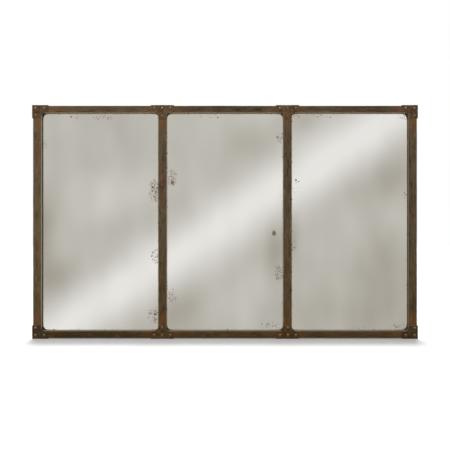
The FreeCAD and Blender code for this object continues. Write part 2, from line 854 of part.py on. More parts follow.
def check(parts):
    """Stops before anything is written if an object or a sub-part's shape is wrong."""
    for thing in doc.Objects:
        if "Invalid" in thing.State or "Error" in thing.State:
            raise RuntimeError("%s failed to build" % thing.Name)
    for part in parts:
        if part.Shape.isNull() or not part.Shape.isValid():
            raise RuntimeError("%s has a bad shape" % part.Label)


parts = build()
check(parts)
os.makedirs("parts", exist_ok=True)
for part in parts:
    part.Shape.exportStep("parts/%s.step" % part.Label)
print("%d sub-parts written" % len(parts))
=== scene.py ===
import math

import bmesh
import bpy
from bpy.props import FloatProperty, FloatVectorProperty, IntProperty, PointerProperty
from mathutils import Matrix, Vector, noise


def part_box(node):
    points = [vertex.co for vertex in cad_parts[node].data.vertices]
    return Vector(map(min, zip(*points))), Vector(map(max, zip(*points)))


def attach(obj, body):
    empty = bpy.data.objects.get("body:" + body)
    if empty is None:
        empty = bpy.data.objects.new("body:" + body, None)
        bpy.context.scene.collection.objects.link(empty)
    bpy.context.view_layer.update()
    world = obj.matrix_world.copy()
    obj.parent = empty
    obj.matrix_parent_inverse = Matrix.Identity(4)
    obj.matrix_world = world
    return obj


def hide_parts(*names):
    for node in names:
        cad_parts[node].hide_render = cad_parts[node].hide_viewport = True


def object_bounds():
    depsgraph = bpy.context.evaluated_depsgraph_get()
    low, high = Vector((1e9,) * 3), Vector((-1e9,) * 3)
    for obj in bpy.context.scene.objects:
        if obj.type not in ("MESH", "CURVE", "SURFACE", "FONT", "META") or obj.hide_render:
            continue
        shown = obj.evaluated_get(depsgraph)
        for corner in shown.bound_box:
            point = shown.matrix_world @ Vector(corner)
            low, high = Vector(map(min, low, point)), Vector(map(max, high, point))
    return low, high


bl_info = {
    "name": "Triptych wall mirror",
    "version": (1, 0, 0),
    "blender": (4, 5, 0),
    "location": "3D View > Sidebar > Mirror",
    "description": "Dresses a three-pane wall mirror in aged steel, old silvered glass and its backing",
    "category": "Object",
}

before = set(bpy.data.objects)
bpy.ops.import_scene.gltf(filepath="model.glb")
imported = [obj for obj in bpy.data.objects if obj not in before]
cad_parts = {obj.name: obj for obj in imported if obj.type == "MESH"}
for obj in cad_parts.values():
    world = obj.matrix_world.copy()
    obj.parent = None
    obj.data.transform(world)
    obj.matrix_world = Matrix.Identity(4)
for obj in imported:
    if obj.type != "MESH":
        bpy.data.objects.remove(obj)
CAD_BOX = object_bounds()


def middle_of(node):
    """The middle of a node's box."""
    low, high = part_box(node)
    return (low + high) / 2


MM = 0.001
LEVELS = {"top": 1, "bottom": -1}
SIDES = {"left": -1, "right": 1}
PANES = ("left", "centre", "right")
BARS = ("top_rail", "bottom_rail", "left_stile", "right_stile", "left_mullion", "right_mullion")
PLATES = [
    "%s_plate_%s_%s" % (kind, level, side) for kind in ("corner", "tee") for level in LEVELS for side in SIDES
]

# Places that the frame gives, in metres. Y is lowest at the front and 0 at the wall.
MIDDLE = (CAD_BOX[0] + CAD_BOX[1]) / 2
COVER_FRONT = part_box("top_rail_cover")[0].y
BAR_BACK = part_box("top_rail_cover")[1].y
PLATE_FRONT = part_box("corner_plate_top_left")[0].y
GLASS_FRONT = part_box("centre_mirror")[0].y
GLASS_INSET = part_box("centre_mirror")[1].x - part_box("right_mullion_cover")[0].x
MULLION_X = middle_of("right_mullion_cover").x
PIVOT_Y = middle_of("right_hanger_ring").y

# Sizes that the frame doesn't give: the sheet of covers and straps, the radius inside a cover's folds, the
# clips' sheet, the eased edges of bent sheet and of boards, the longest run between a cover outline's points,
# how far a nail stands from its plate's outer edge, from its end on the rail and from its end on the upright,
# and the heights of a strap's two screws
SHEET = 1.5 * MM
FOLD = 1.5 * MM
CLIP_SHEET = 1.2 * MM
SHEET_EASE = 0.25 * MM
BOARD_EASE = 0.6 * MM
OUTLINE_RUN = 4 * MM
NAIL_EDGE = 15.5 * MM
NAIL_END = 15 * MM
NAIL_FOOT = 11 * MM
STRAP_SCREWS = (-34 * MM, -49 * MM)


def colour_property(name, description, value):
    return FloatVectorProperty(
        name=name, description=description, default=value, subtype="COLOR", size=3, min=0, max=1
    )


def length_property(name, description, value):
    return FloatProperty(name=name, description=description, default=value, min=0, unit="LENGTH", precision=5)


class MirrorSizes(bpy.types.PropertyGroup):
    """Sizes of what the solids leave to the finish."""

    wave: length_property("Bar waviness", "How far a folded cover wanders from its straight line", 0.0006)
    dent: length_property("Plate dents", "Depth of the hammer marks on the joint plates", 0.0005)
    voxel: length_property("Plate grain", "Size of the faces that the hammered plates are made of", 0.0008)
    nail_radius: length_property("Nail head radius", "Radius of a nail's domed head", 0.0058)
    nail_rise: length_property("Nail head height", "Height of a nail's domed head", 0.003)
    ground_edge: length_property("Ground edge", "Width of the ground edge round each pane", 0.0008)
    wire_radius: length_property("Ring wire radius", "Radius of the D-rings' wire", 0.002)
    seed: IntProperty(name="Seed", description="Start of everything that varies by chance", default=7, min=0)


class MirrorColours(bpy.types.PropertyGroup):
    """Colours of the mirror's finishes."""

    umber: colour_property("Umber", "Main colour of the steel covers", (0.131, 0.071, 0.0345))
    olive: colour_property("Olive", "Greenish wear along the covers' outer edges", (0.122, 0.090, 0.048))
    # Soot also paints shade: along the covers' inner folds, round the nails' rims, in lines on the glass by
    # some bars, and towards the foot
    soot_and_shade: colour_property("Soot", "Dark streaks and hollows", (0.017, 0.011, 0.004))
    rust: colour_property("Rust", "Rust blooms on covers and plates", (0.190, 0.085, 0.026))
    plate: colour_property("Plate brown", "Main colour of the joint plates", (0.070, 0.042, 0.019))
    # The worn colour also paints light: on inner walls that face away from the key, and on the plates' backs
    worn_and_lit: colour_property("Worn walls", "Rubbed inner walls of the covers", (0.50, 0.41, 0.29))
    # Bare steel also paints highlights on the plates' upper edges and on the nails' domes
    glint: colour_property("Bare steel", "Bare specks and worn edges", (0.55, 0.48, 0.38))
    silver: colour_property("Silvering", "Colour of the clear silvered glass", (0.86, 0.855, 0.84))
    foxing: colour_property("Foxing", "Brown specks of the aged silvering", (0.245, 0.135, 0.048))
    haze: colour_property("Haze", "Beige bloom along the panes' edges", (0.56, 0.50, 0.39))
    pine: colour_property("Pine", "Light wood of the cores", (0.52, 0.33, 0.16))
    board: colour_property("Hardboard", "Brown of the backing boards", (0.20, 0.115, 0.055))
    zinc: colour_property("Zinc", "Plated steel of clips, screws, straps and rings", (0.56, 0.56, 0.54))
    rubber: colour_property("Rubber", "Wall bumpers", (0.018, 0.018, 0.018))


class Flow:
    """The value that leaves one socket. Arithmetic on it adds Math nodes."""

    def __init__(self, graph, socket):
        self.graph = graph
        self.socket = socket

    def join(self, operation, first, second):
        return self.graph.flow("ShaderNodeMath", {"operation": operation}, {0: first, 1: second})

    def alone(self, operation):
        return self.graph.flow("ShaderNodeMath", {"operation": operation}, {0: self})

    def __add__(self, other):
        return self.join("ADD", self, other)

    def __sub__(self, other):
        return self.join("SUBTRACT", self, other)

    def __rsub__(self, other):
        return self.join("SUBTRACT", other, self)

    def __mul__(self, other):
        return self.join("MULTIPLY", self, other)

    def __truediv__(self, other):
        return self.join("DIVIDE", self, other)

    def __abs__(self):
        return self.alone("ABSOLUTE")

    __radd__ = __add__
    __rmul__ = __mul__

    def at_least(self, other):
        return self.join("MAXIMUM", self, other)

    def at_most(self, other):
        return self.join("MINIMUM", self, other)

    def part(self, axis):
        """One part of a vector."""
        return Flow(self.graph, self.graph.node("ShaderNodeSeparateXYZ", None, {0: self}).outputs[axis])

    def rise(self, low, high):
        """0 below low and 1 above high, with a soft step between. low may lie above high."""
        return self.graph.flow(
            "ShaderNodeMapRange", {"interpolation_type": "SMOOTHSTEP"}, {0: self, 1: low, 2: high}
        )


class Graph:
    """A node tree that is written as expressions."""

    def __init__(self, tree):
        self.tree = tree

    def node(self, kind, settings=None, values=None):
        """A node of that type, with its settings, and the values or links of its sockets."""
        node = self.tree.nodes.new(kind)
        for name, setting in (settings or {}).items():
            setattr(node, name, setting)
        for name, value in (values or {}).items():
            socket = node.inputs[name]
            if isinstance(value, Flow):
                self.tree.links.new(value.socket, socket)
            elif isinstance(value, bpy.types.NodeSocket):
                self.tree.links.new(value, socket)
            else:
                socket.default_value = value
        return node

    def flow(self, kind, settings=None, values=None, output=0):
        return Flow(self, self.node(kind, settings, values).outputs[output])

    def seen(self):
        """1 where the camera sees something straight, in a reflection or through glass, and 0 for light."""
        rays = self.node("ShaderNodeLightPath").outputs
        straight, glossy, through = (
            Flow(self, rays["Is %s Ray" % kind]) for kind in ("Camera", "Glossy", "Transmission")
        )
        return straight.at_least(glossy).at_least(through)


class Finish(Graph):
    """A material made from nothing, with its textures moved by shift.

    place is the object's own coordinates, and x, y and z are its parts.
    """

    def __init__(self, name, shift=0.0):
        self.shift = shift
        self.material = bpy.data.materials.new(name)
        self.material.use_nodes = True
        super().__init__(self.material.node_tree)
        self.tree.nodes.clear()
        self.place = self.flow("ShaderNodeTexCoord", output="Object")
        self.x, self.y, self.z = (self.place.part(axis) for axis in range(3))

    def facing(self):
        """How far the surface faces upwards, and how far to the front, from -1 to 1."""
        normal = self.flow("ShaderNodeNewGeometry", output="Normal")
        return normal.part(2), normal.part(1) * -1

    def noise(self, scale, detail, rough, stretch=(1, 1, 1), shift=0.0, twist=0.0):
        moved = {"Vector": self.place, "Location": (self.shift + shift,) * 3, "Scale": stretch}
        spot = self.flow("ShaderNodeMapping", None, moved)
        values = {"Vector": spot, "Scale": scale, "Detail": detail, "Roughness": rough, "Distortion": twist}
        return self.flow("ShaderNodeTexNoise", None, values)

    def cells(self, scale):
        """The outputs of a texture of scattered points and the cells about them."""
        return self.node("ShaderNodeTexVoronoi", None, {"Vector": self.place, "Scale": scale}).outputs

    def specks(self, scale, low, high):
        """1 near scattered points and 0 away from them."""
        return Flow(self, self.cells(scale)["Distance"]).rise(low, high)

    def oval(self, across, up, wide, tall):
        """The square of how far a place is from an oval's middle: 0 there and 1 at its edge."""
        far_x, far_z = (self.x - across) / wide, (self.z - up) / tall
        return far_x * far_x + far_z * far_z

    def blend(self, share, first, second, kind="MIX"):
        """A colour between two colours."""
        ends = [end if isinstance(end, Flow) else tuple(end) + (1,) for end in (first, second)]
        settings = {"data_type": "RGBA", "blend_type": kind, "clamp_factor": True}
        return self.flow("ShaderNodeMix", settings, {0: share, 6: ends[0], 7: ends[1]}, 2)

    def coat(self, colour, *coats):
        """A colour under coats of (share, colour), laid on in that order."""
        for share, paint in coats:
            colour = self.blend(share, colour, paint)
        return colour

    def surface(self, colour, rough, height, depth, strength, **others):
        """Ends the material in one surface shader, and returns it. A height of 1 stands for depth in metres.

        others are further sockets, with an underscore for a space in their names.
        """
        relief = {"Height": height, "Distance": depth, "Strength": strength}
        values = {"Base Color": colour, "Roughness": rough}
        values["Normal"] = self.flow("ShaderNodeBump", None, relief)
        values.update({name.replace("_", " "): value for name, value in others.items()})
        return self.end(self.node("ShaderNodeBsdfPrincipled", None, values).outputs[0])

    def end(self, shader):
        self.node("ShaderNodeOutputMaterial", None, {"Surface": shader})
        return self.material


# Finishes


# How dark each bar's brown is, from its plain brown at 0 to black at 1: at its left or lower end, at its
# middle, and at its other end. Partly the patina's own tone and partly painted shade, deeper at the foot and
# on the right
DARKNESS_AND_SHADE = {
    "top_rail": (0.0, 0.36, 0.34), "bottom_rail": (0.66, 0.26, 0.22), "left_stile": (0.26, 0.0, 0.04),
    "right_stile": (0.40, 0.26, 0.14), "left_mullion": (0.34, 0.20, 0.12),
    "right_mullion": (0.30, 0.28, 0.28),
}

# How pale each bar's inner wall is: partly wear, and partly painted light on the walls that face away from
# the key light
RUBBED_AND_LIT = {
    "top_rail": 0.75, "bottom_rail": 0.9, "left_stile": 1.0, "right_stile": 0.32, "left_mullion": 0.5,
    "right_mullion": 0.4,
}

# What the steel's colours are multiplied by at the mirror's foot: painted shade, darker and yellower, as the
# light falls from above
FOOT_SHADE = (1.0, 0.92, 0.62)

# Where the silvering has browned most: how far right of the mirror's middle and up from it, the half width
# and half height of the patch, in millimetres, and how thickly it is specked. Above about 1.7 the core of
# the patch is eaten away.
FOXED = {
    "left": (
        (-523, 448, 45, 12, 0.6), (-772, 337, 9, 16, 0.4), (-300, 134, 26, 42, 1.35),
        (-294, -148, 24, 32, 1.1), (-296, -402, 30, 34, 0.8), (-640, 452, 30, 8, 0.3),
        (-775, -60, 7, 60, 0.2),
    ),
    "centre": (
        (-230, 192, 20, 38, 1.2), (-226, 170, 13, 17, 1.9), (-228, -320, 16, 32, 0.9),
        (236, 364, 17, 28, 0.9), (210, -48, 10, 14, 2.1), (233, -222, 18, 36, 1.2),
        (200, -444, 44, 20, 0.45), (-60, 452, 60, 7, 0.25), (236, 120, 8, 40, 0.3),
    ),
    "right": (
        (306, 154, 18, 52, 0.12), (300, -100, 14, 28, 0.5), (306, 452, 22, 12, 0.5), (400, 454, 55, 9, 0.4),
        (764, 452, 22, 14, 0.6), (774, 115, 8, 22, 0.4), (752, -452, 34, 16, 0.5), (560, -456, 50, 7, 0.25),
    ),
}

# Three sizes of foxing specks: how many a metre, and how densely they stand
SPECKS = ((95, 0.85), (170, 0.9), (300, 0.8))

# Sides where a thin painted shadow line lies on the glass along the bar, and how dark it is
SHADOW_LINES = {"left": 0.75, "right": 0.4, "top": 0.6}


def toward_foot(finish):
    """0 in the upper half of the mirror, rising to 1 at its foot: where painted shade deepens, and where more
    nails get a painted glint.
    """
    return (MIDDLE.z - finish.z).rise(-0.1, 0.5)


def shaded_to_foot(finish, colour):
    """A colour darkened and yellowed towards the mirror's foot: painted shade."""
    return finish.blend(toward_foot(finish), colour, FOOT_SHADE, "MULTIPLY")


def toned(colour, share):
    """A colour made darker, or paler by a share above 1."""
    return [part * share for part in colour]


def bar_dark_and_shade(finish, bar, low, high):
    """How dark the bar's brown is at each place along it: its patina's tone with painted shade."""
    axis, along = (0, finish.x) if bar.endswith("rail") else (2, finish.z)
    share = (along - low[axis]) / (high[axis] - low[axis])
    start, centre, stop = DARKNESS_AND_SHADE[bar]
    return share.rise(0, 0.5) * (centre - start) + share.rise(0.5, 1) * (stop - centre) + start


def cover_finish(bar, colours):
    """Aged steel of one bar's cover: streaked along the bar, rusty near the plates, pale inside from wear and
    painted light, and darkened by painted shade.
    """
    finish = Finish("aged_steel_" + bar, BARS.index(bar) * 3.7)
    low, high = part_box(bar + "_cover")
    rail = bar.endswith("rail")
    axis, across = (2, finish.z) if rail else (0, finish.x)
    half, centre = (high[axis] - low[axis]) / 2, (high[axis] + low[axis]) / 2
    outwards = 1 if centre > MIDDLE[axis] else -1
    offset = (across - centre) * (outwards / half)
    along = (1, 9, 9) if rail else (9, 9, 1)
    streaks = finish.noise(9, 6, 0.65, along)
    fine = finish.noise(22, 5, 0.7, along, 2)
    broad = finish.noise(14, 3, 0.6, tuple(part ** 0.5 for part in along), 4, 0.4)
    clouds = finish.noise(8, 5, 0.6, twist=0.6)
    mottle = finish.noise(150, 4, 0.65)
    if rail:
        near_plate = abs(abs(finish.x) - MULLION_X).rise(0.10, 0.05).at_least(abs(finish.x).rise(0.68, 0.76))
    else:
        near_plate = abs(finish.z - MIDDLE.z).rise(0.36, 0.43)
    wall = (finish.y - COVER_FRONT).rise(0.0003, 0.0026)
    # Painted shade along the inner fold of the face
    fold_shade = offset.rise(-0.80, -0.87) * offset.rise(-0.99, -0.95)
    blooms = (clouds.rise(0.60, 0.72) * 0.6 + near_plate * 0.75) * mottle.rise(0.36, 0.60)
    bare = finish.specks(400, 0.20, 0.08) * mottle.rise(0.54, 0.64)
    # Pale inner walls: wear, and painted light on walls that face away from the key
    wear_and_highlight = wall * (1.1 - mottle * 0.4) * offset.rise(0, -0.5) * RUBBED_AND_LIT[bar]
    colour = finish.coat(
        colours.umber,
        ((streaks * 0.6 + clouds * 0.4).rise(0.38, 0.60), colours.olive),
        (offset.rise(0.35, 0.75) * 0.8, colours.olive),
        # Painted shade, with the patina's own tone, where less light falls
        (bar_dark_and_shade(finish, bar, low, high), colours.soot_and_shade),
        (fine.rise(0.52, 0.68) * 0.8, colours.soot_and_shade),
        (fine.rise(0.46, 0.32) * 0.18, colours.worn_and_lit),
        (broad.rise(0.54, 0.68) * 0.5, colours.soot_and_shade),
        # The face's inner edge made paler: wear, and painted light by bar
        (offset.rise(-0.6, -0.9) * 0.15 * RUBBED_AND_LIT[bar], colours.worn_and_lit),
        # Painted shade along the inner fold
        (fold_shade * (0.35 + fine * 0.8), colours.soot_and_shade),
        (blooms, colours.rust),
    )
    # Painted shade towards the foot, then bare specks, then the pale inner walls
    colour = finish.coat(shaded_to_foot(finish, colour), (bare * 0.5, colours.glint), (wear_and_highlight, colours.worn_and_lit))
    rough = 0.48 + mottle * 0.16 + blooms * 0.2 - bare * 0.15 + offset.rise(0.80, 0.97) * 0.3
    height = streaks * 0.5 + mottle * 0.3 + fine * 0.2
    return finish.surface(colour, rough, height, 0.0005, 0.7, Metallic=0.2, Specular_IOR_Level=0.18)


def plate_finish(colours):
    """Hammered steel of the joint plates: mottled rust and bare specks, with painted highlights on upper
    edges, painted light on the backs, and painted shade towards the foot.
    """
    finish = Finish("hammered_steel")
    clouds = finish.noise(24, 5, 0.62, twist=0.5)
    mottle = finish.noise(110, 5, 0.65)
    grain = finish.noise(400, 3, 0.6)
    upper, front = finish.facing()
    corner = abs(finish.x).rise(0.5, 0.6)
    foot = toward_foot(finish)
    # A painted highlight on upper edges that face the front, as the light falls from above
    wear_and_highlight = upper.rise(0.30, 0.70) * front.rise(0.15, 0.45) * clouds.rise(0.38, 0.52)
    bare = finish.specks(230, 0.24, 0.10) * grain.rise(0.50, 0.60)
    colour = finish.coat(
        colours.plate,
        (clouds.rise(0.38, 0.60), colours.olive),
        (mottle.rise(0.45, 0.62) * 0.8, colours.rust),
        (mottle.rise(0.46, 0.32) * 0.85, colours.soot_and_shade),
        # Painted shade towards the foot, and darker corner plates
        (foot * 0.16 + corner * 0.24 + corner * foot * 0.14, colours.soot_and_shade),
    )
    colour = finish.coat(
        # Painted shade towards the foot
        shaded_to_foot(finish, colour),
        # Painted light on the plates' backs, which the glass reflects
        (front.rise(-0.3, -0.7) * 0.8, colours.worn_and_lit),
        # Painted highlights on the upper edges
        (wear_and_highlight * 0.75, colours.glint),
        (bare * 0.7, colours.glint),
    )
    rough, height = 0.52 + clouds * 0.25 - bare * 0.2, mottle * 0.6 + grain * 0.4
    return finish.surface(colour, rough, height, 0.0008, 0.9, Metallic=0.25, Specular_IOR_Level=0.2)


def nail_finish(colours):
    """Dark waxed steel of the nails, with a painted highlight on the upper side of their domes and painted
    shade round their rims.
    """
    finish = Finish("waxed_nail_steel")
    mottle = finish.noise(260, 4, 0.6)
    # Which nails catch a painted glint, more of them towards the foot
    luck = finish.noise(21, 2, 0.5) + toward_foot(finish) * 0.10
    upper, front = finish.facing()
    # A painted highlight on the upper side of each dome
    wear_and_highlight = upper.rise(0.05, 0.55) * front.rise(0.15, 0.6) * mottle.rise(0.36, 0.52) * luck.rise(0.38, 0.56)
    colour = finish.coat(
        colours.umber,
        (mottle.rise(0.4, 0.65), colours.rust),
        # Painted shade round each head's rim
        (front.rise(0.85, 0.35) * 0.85, colours.soot_and_shade),
        (wear_and_highlight * 0.9, colours.glint),
    )
    return finish.surface(colour, 0.46 - wear_and_highlight * 0.06 + mottle * 0.1, mottle, 0.0003, 0.5, Metallic=0.4)


def silver_finish(pane, colours):
    """Old silvered glass: clear, hazy along its edges, foxed in patches, and with painted shadow lines along
    some bars.
    """
    finish = Finish("silvered_glass_" + pane, PANES.index(pane) * 5.3)
    low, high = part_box(pane + "_mirror")
    centre = (low + high) / 2
    ragged, rag = finish.noise(420, 4, 0.7), finish.noise(38, 5, 0.7)
    to_side = (high.x - low.x) / 2 - GLASS_INSET - abs(finish.x - centre.x)
    to_end = (high.z - low.z) / 2 - GLASS_INSET - abs(finish.z - centre.z)
    border = to_side.at_most(to_end)
    patch = border.rise(0.010, 0.0) * 0.2
    for across, up, wide, tall, thick in FOXED[pane]:
        oval = finish.oval(across * MM, MIDDLE.z + up * MM, wide * MM, tall * MM)
        patch = patch.at_least(oval.rise(1.8, 0.0) * thick)
    haze = (border + (rag - 0.5) * 0.012).rise(0.007, 0.0005)
    cloud = patch * rag.rise(0.30, 0.62)
    eaten = (patch + (ragged - 0.5) * 0.4).rise(1.7, 1.9)
    ochre = eaten * 0.7
    for scale, density in SPECKS:
        cells = finish.cells(scale)
        numbers = finish.node("ShaderNodeSeparateColor", None, {0: cells["Color"]}).outputs
        luck, size, hue = (Flow(finish, number) for number in numbers)
        reach = size * size * 0.30 + 0.27
        dot = ((Flow(finish, cells["Distance"]) + (ragged - 0.5) * 0.7) / reach).rise(1.0, 0.6)
        dot = dot * (patch * (0.5 + rag * 0.7) * density - luck).rise(0.0, 0.05)
        eaten, ochre = dot.at_least(eaten), (dot.rise(0.0, 0.2) * hue).at_least(ochre)
    # Painted shadow lines on the glass along the top and the side bars
    line = (high.z - GLASS_INSET - finish.z).rise(0.0028, 0.0020) * SHADOW_LINES["top"]
    if pane == "left":
        line = line.at_least((finish.x - low.x - GLASS_INSET).rise(0.0066, 0.0042) * SHADOW_LINES[pane])
    elif pane == "right":
        line = line.at_least((high.x - GLASS_INSET - finish.x).rise(0.0034, 0.0014) * SHADOW_LINES[pane])
    colour = finish.coat(
        colours.silver,
        (haze * 0.55, colours.haze),
        (cloud * 0.12, colours.haze),
        (eaten, finish.blend(ochre.rise(0.25, 0.75), colours.soot_and_shade, colours.foxing)),
        # The painted shadow lines
        (line, colours.soot_and_shade),
    )
    rough = 0.015 + haze * 0.10 + cloud * 0.04 + eaten * 0.35
    sway = finish.noise(2.2, 1, 0.4)
    return finish.surface(colour, rough, sway, 0.0012, 0.5, Metallic=1 - eaten * 0.9)


def ground_finish():
    """The panes' ground edges, dull and green."""
    finish = Finish("ground_glass_edge")
    grain = finish.noise(900, 2, 0.5)
    colour = finish.blend(grain, (0.20, 0.30, 0.26), (0.36, 0.46, 0.41))
    return finish.surface(colour, 0.3 + grain * 0.3, grain, 0.0001, 0.5)


def backing_paint_finish():
    """Grey paint over the silver, on the panes' backs."""
    finish = Finish("mirror_back_paint")
    clouds = finish.noise(12, 5, 0.6)
    fine = finish.noise(240, 3, 0.6)
    colour = finish.blend(clouds * 0.6 + fine * 0.4, (0.13, 0.14, 0.15), (0.22, 0.23, 0.24))
    return finish.surface(colour, 0.55 + fine * 0.1, fine, 0.0001, 0.4)


def timber_finish(along, colours):
    """Planed pine with its grain along X or Z."""
    finish = Finish("pine_along_" + along)
    stretch = (1, 14, 14) if along == "x" else (14, 14, 1)
    growth = finish.noise(5, 3, 0.5, stretch, twist=0.8)
    rings = abs((growth * 9).alone("FRACT") - 0.5) * 2
    pores = finish.noise(90, 3, 0.6, stretch)
    dark = toned(colours.pine, 0.55)
    colour = finish.coat(
        colours.pine, (rings.rise(0.2, 0.95) * 0.55, dark), (pores.rise(0.55, 0.75) * 0.5, dark)
    )
    return finish.surface(colour, 0.55 + pores * 0.2, rings * 0.5 + pores * 0.5, 0.0003, 0.5)


def board_finish(colours):
    """Hardboard with the mark of its wire net, clouds, and the rims of old damp stains."""
    finish = Finish("hardboard")
    fibre = finish.noise(260, 5, 0.7, twist=1.5)
    clouds = finish.noise(4, 5, 0.6)
    stains = finish.noise(2.3, 4, 0.65, shift=3.0, twist=1.2)
    rising, falling = (((finish.x + finish.z * slant) * 1400).alone("SINE") for slant in (1, -1))
    net = rising.at_least(falling) * 0.5 + 0.5
    dark = toned(colours.board, 0.55)
    colour = finish.coat(
        colours.board,
        (fibre.rise(0.4, 0.65) * 0.5 + clouds * 0.4, dark),
        (clouds.rise(0.50, 0.68) * 0.5, toned(colours.board, 1.5)),
        (stains.rise(0.56, 0.62) * stains.rise(0.70, 0.64) * 0.5, dark),
    )
    return finish.surface(colour, 0.55 + clouds * 0.25, fibre * 0.4 + net * 0.6, 0.0004, 0.6)


def zinc_finish(colours):
    """Zinc plating with its cloudy spangle. Clips, straps, rings and screws share it."""
    if "zinc_plate" in bpy.data.materials:
        return bpy.data.materials["zinc_plate"]
    finish = Finish("zinc_plate")
    clouds = finish.noise(60, 4, 0.6)
    fine = finish.noise(700, 3, 0.6)
    colour = finish.blend(clouds.rise(0.35, 0.65), colours.zinc, toned(colours.zinc, 0.72))
    return finish.surface(colour, 0.3 + clouds * 0.15 + fine * 0.08, fine, 0.0001, 0.4, Metallic=0.95)


def rubber_finish(colours):
    """Black rubber with a grey bloom."""
    finish = Finish("black_rubber")
    grain = finish.noise(900, 3, 0.6)
    bloom = finish.noise(70, 4, 0.6)
    colour = finish.blend(bloom.rise(0.45, 0.75) * 0.6, colours.rubber, toned(colours.rubber, 3))
    return finish.surface(colour, 0.6 + bloom * 0.2, grain, 0.0002, 0.6)


# Mesh helpers


# Points nearer than this, in metres, are one
MERGE = 1e-6


def close_up(made):
    """Closes a mesh's seams and open ends, and turns its faces outwards."""
    bmesh.ops.remove_doubles(made, verts=made.verts, dist=MERGE)
    open_edges = [edge for edge in made.edges if len(edge.link_faces) == 1]
    if open_edges:
        bmesh.ops.holes_fill(made, edges=open_edges, sides=0)
    bmesh.ops.recalc_face_normals(made, faces=made.faces)


def smooth(mesh, degrees=35):
    mesh.shade_smooth()
    mesh.set_sharp_from_angle(angle=math.radians(degrees))


def to_mesh(made, name, degrees=35):
    """A shaped form as a mesh, smooth but for edges sharper than that. At 0 degrees every face stays flat."""
    mesh = bpy.data.meshes.new(name)
    made.to_mesh(mesh)
    made.free()
    if degrees:
        smooth(mesh, degrees)
    return mesh


def from_mesh(mesh):
    """A mesh as a form that can be shaped."""
    made = bmesh.new()
    made.from_mesh(mesh)
    return made


def add_object(name, mesh):
    thing = bpy.data.objects.new(name, mesh)
    bpy.context.scene.collection.objects.link(thing)
    return thing


def bake_modifiers(thing):
    """The object's mesh with its modifiers worked in."""
    graph = bpy.context.evaluated_depsgraph_get()
    mesh = bpy.data.meshes.new_from_object(thing.evaluated_get(graph))
    thing.modifiers.clear()
    thing.data = mesh
    return mesh


def keep_inside(mesh, node):
    """Holds a mesh inside its solid's box."""
    low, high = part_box(node)
    for vertex in mesh.vertices:
        for axis in range(3):
            vertex.co[axis] = min(max(vertex.co[axis], low[axis]), high[axis])


def seat(thing, body, slot, *nodes):
    """Puts a finished piece on its body, in place of its solids."""
    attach(thing, body)
    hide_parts(*nodes)


def seat_mesh(mesh, node, ending, slot, materials, body="frame"):
    """Seats a finished mesh as the piece that stands for a node."""
    for material in materials:
        mesh.materials.append(material)
    keep_inside(mesh, node)
    seat(add_object(node + ending, mesh), body, slot, node)


def arc(centre, radius, start, stop, steps):
    """Points of an arc about a centre in a plane, from one angle in degrees to another."""
    angles = [math.radians(start + (stop - start) * step / steps) for step in range(steps + 1)]
    return [(centre[0] + radius * math.cos(angle), centre[1] + radius * math.sin(angle)) for angle in angles]


def circle(radius, steps):
    """Points of a whole circle in a plane, or its middle where the radius is 0."""
    return arc((0, 0), radius, 0, 360, steps)[:-1] if radius else [(0, 0)]


def skin(loops, ring=False):
    """A closed form over loops of points, each joined to the next. A loop of one point is a tip.

    In a ring the last loop is joined to the first one too.
    """
    made = bmesh.new()
    loops = [[made.verts.new(spot) for spot in loop] for loop in loops]
    for first, second in zip(loops, loops[1:] + (loops[:1] if ring else [])):
        for step in range(max(len(first), len(second))):
            corners = [
                first[step % len(first)], first[(step + 1) % len(first)],
                second[(step + 1) % len(second)], second[step % len(second)],
            ]
            made.faces.new(list(dict.fromkeys(corners)))
    close_up(made)
    return made


def turned(profile, steps):
    """A closed form turned about the Y axis from (radius, y) points that start and end on the axis."""
    return skin([[(x, y, z) for x, z in circle(radius, steps)] for radius, y in profile])


def bent_strip(stations, thick):
    """Sheet with eased edges that runs through stations of (y, z, half width), with its width along X."""
    loops = []
    last = len(stations) - 1
    for index, (y, z, half) in enumerate(stations):
        before, after = stations[max(index - 1, 0)], stations[min(index + 1, last)]
        run = Vector((after[0] - before[0], after[1] - before[1])).normalized()
        off = Vector((-run.y, run.x)) * thick / 2
        corners = ((-half, 1), (half, 1), (half, -1), (-half, -1))
        loops.append([(x, y + off.x * side, z + off.y * side) for x, side in corners])
    made = skin(loops)
    edges = [edge for edge in made.edges if edge.calc_face_angle(0) > 0.9]
    bmesh.ops.bevel(made, geom=edges, offset=SHEET_EASE, segments=2, affect="EDGES")
    return made


def wire_loop(points, radius):
    """A closed ring of round wire through points of the XZ plane."""
    loops = []
    for index, point in enumerate(points):
        run = (points[(index + 1) % len(points)] - points[index - 1]).normalized()
        out = Vector((run.z, 0, -run.x))
        loops.append([point + out * across + Vector((0, deep, 0)) for across, deep in circle(radius, 16)])
    return skin(loops, ring=True)


def slab(low, high, ease):
    """A sheet with eased edges. Faces are marked 0 in front, 1 at the edges and 2 behind."""
    made = bmesh.new()
    bmesh.ops.create_cube(made, size=1)
    for vertex in made.verts:
        vertex.co = Vector((high[axis] if vertex.co[axis] > 0 else low[axis] for axis in range(3)))
    bmesh.ops.bevel(made, geom=made.edges[:], offset=ease, segments=2, affect="EDGES", profile=0.6)
    for face in made.faces:
        face.material_index = 0 if face.normal.y < -0.99 else 2 if face.normal.y > 0.99 else 1
    return made


# Geometry trees


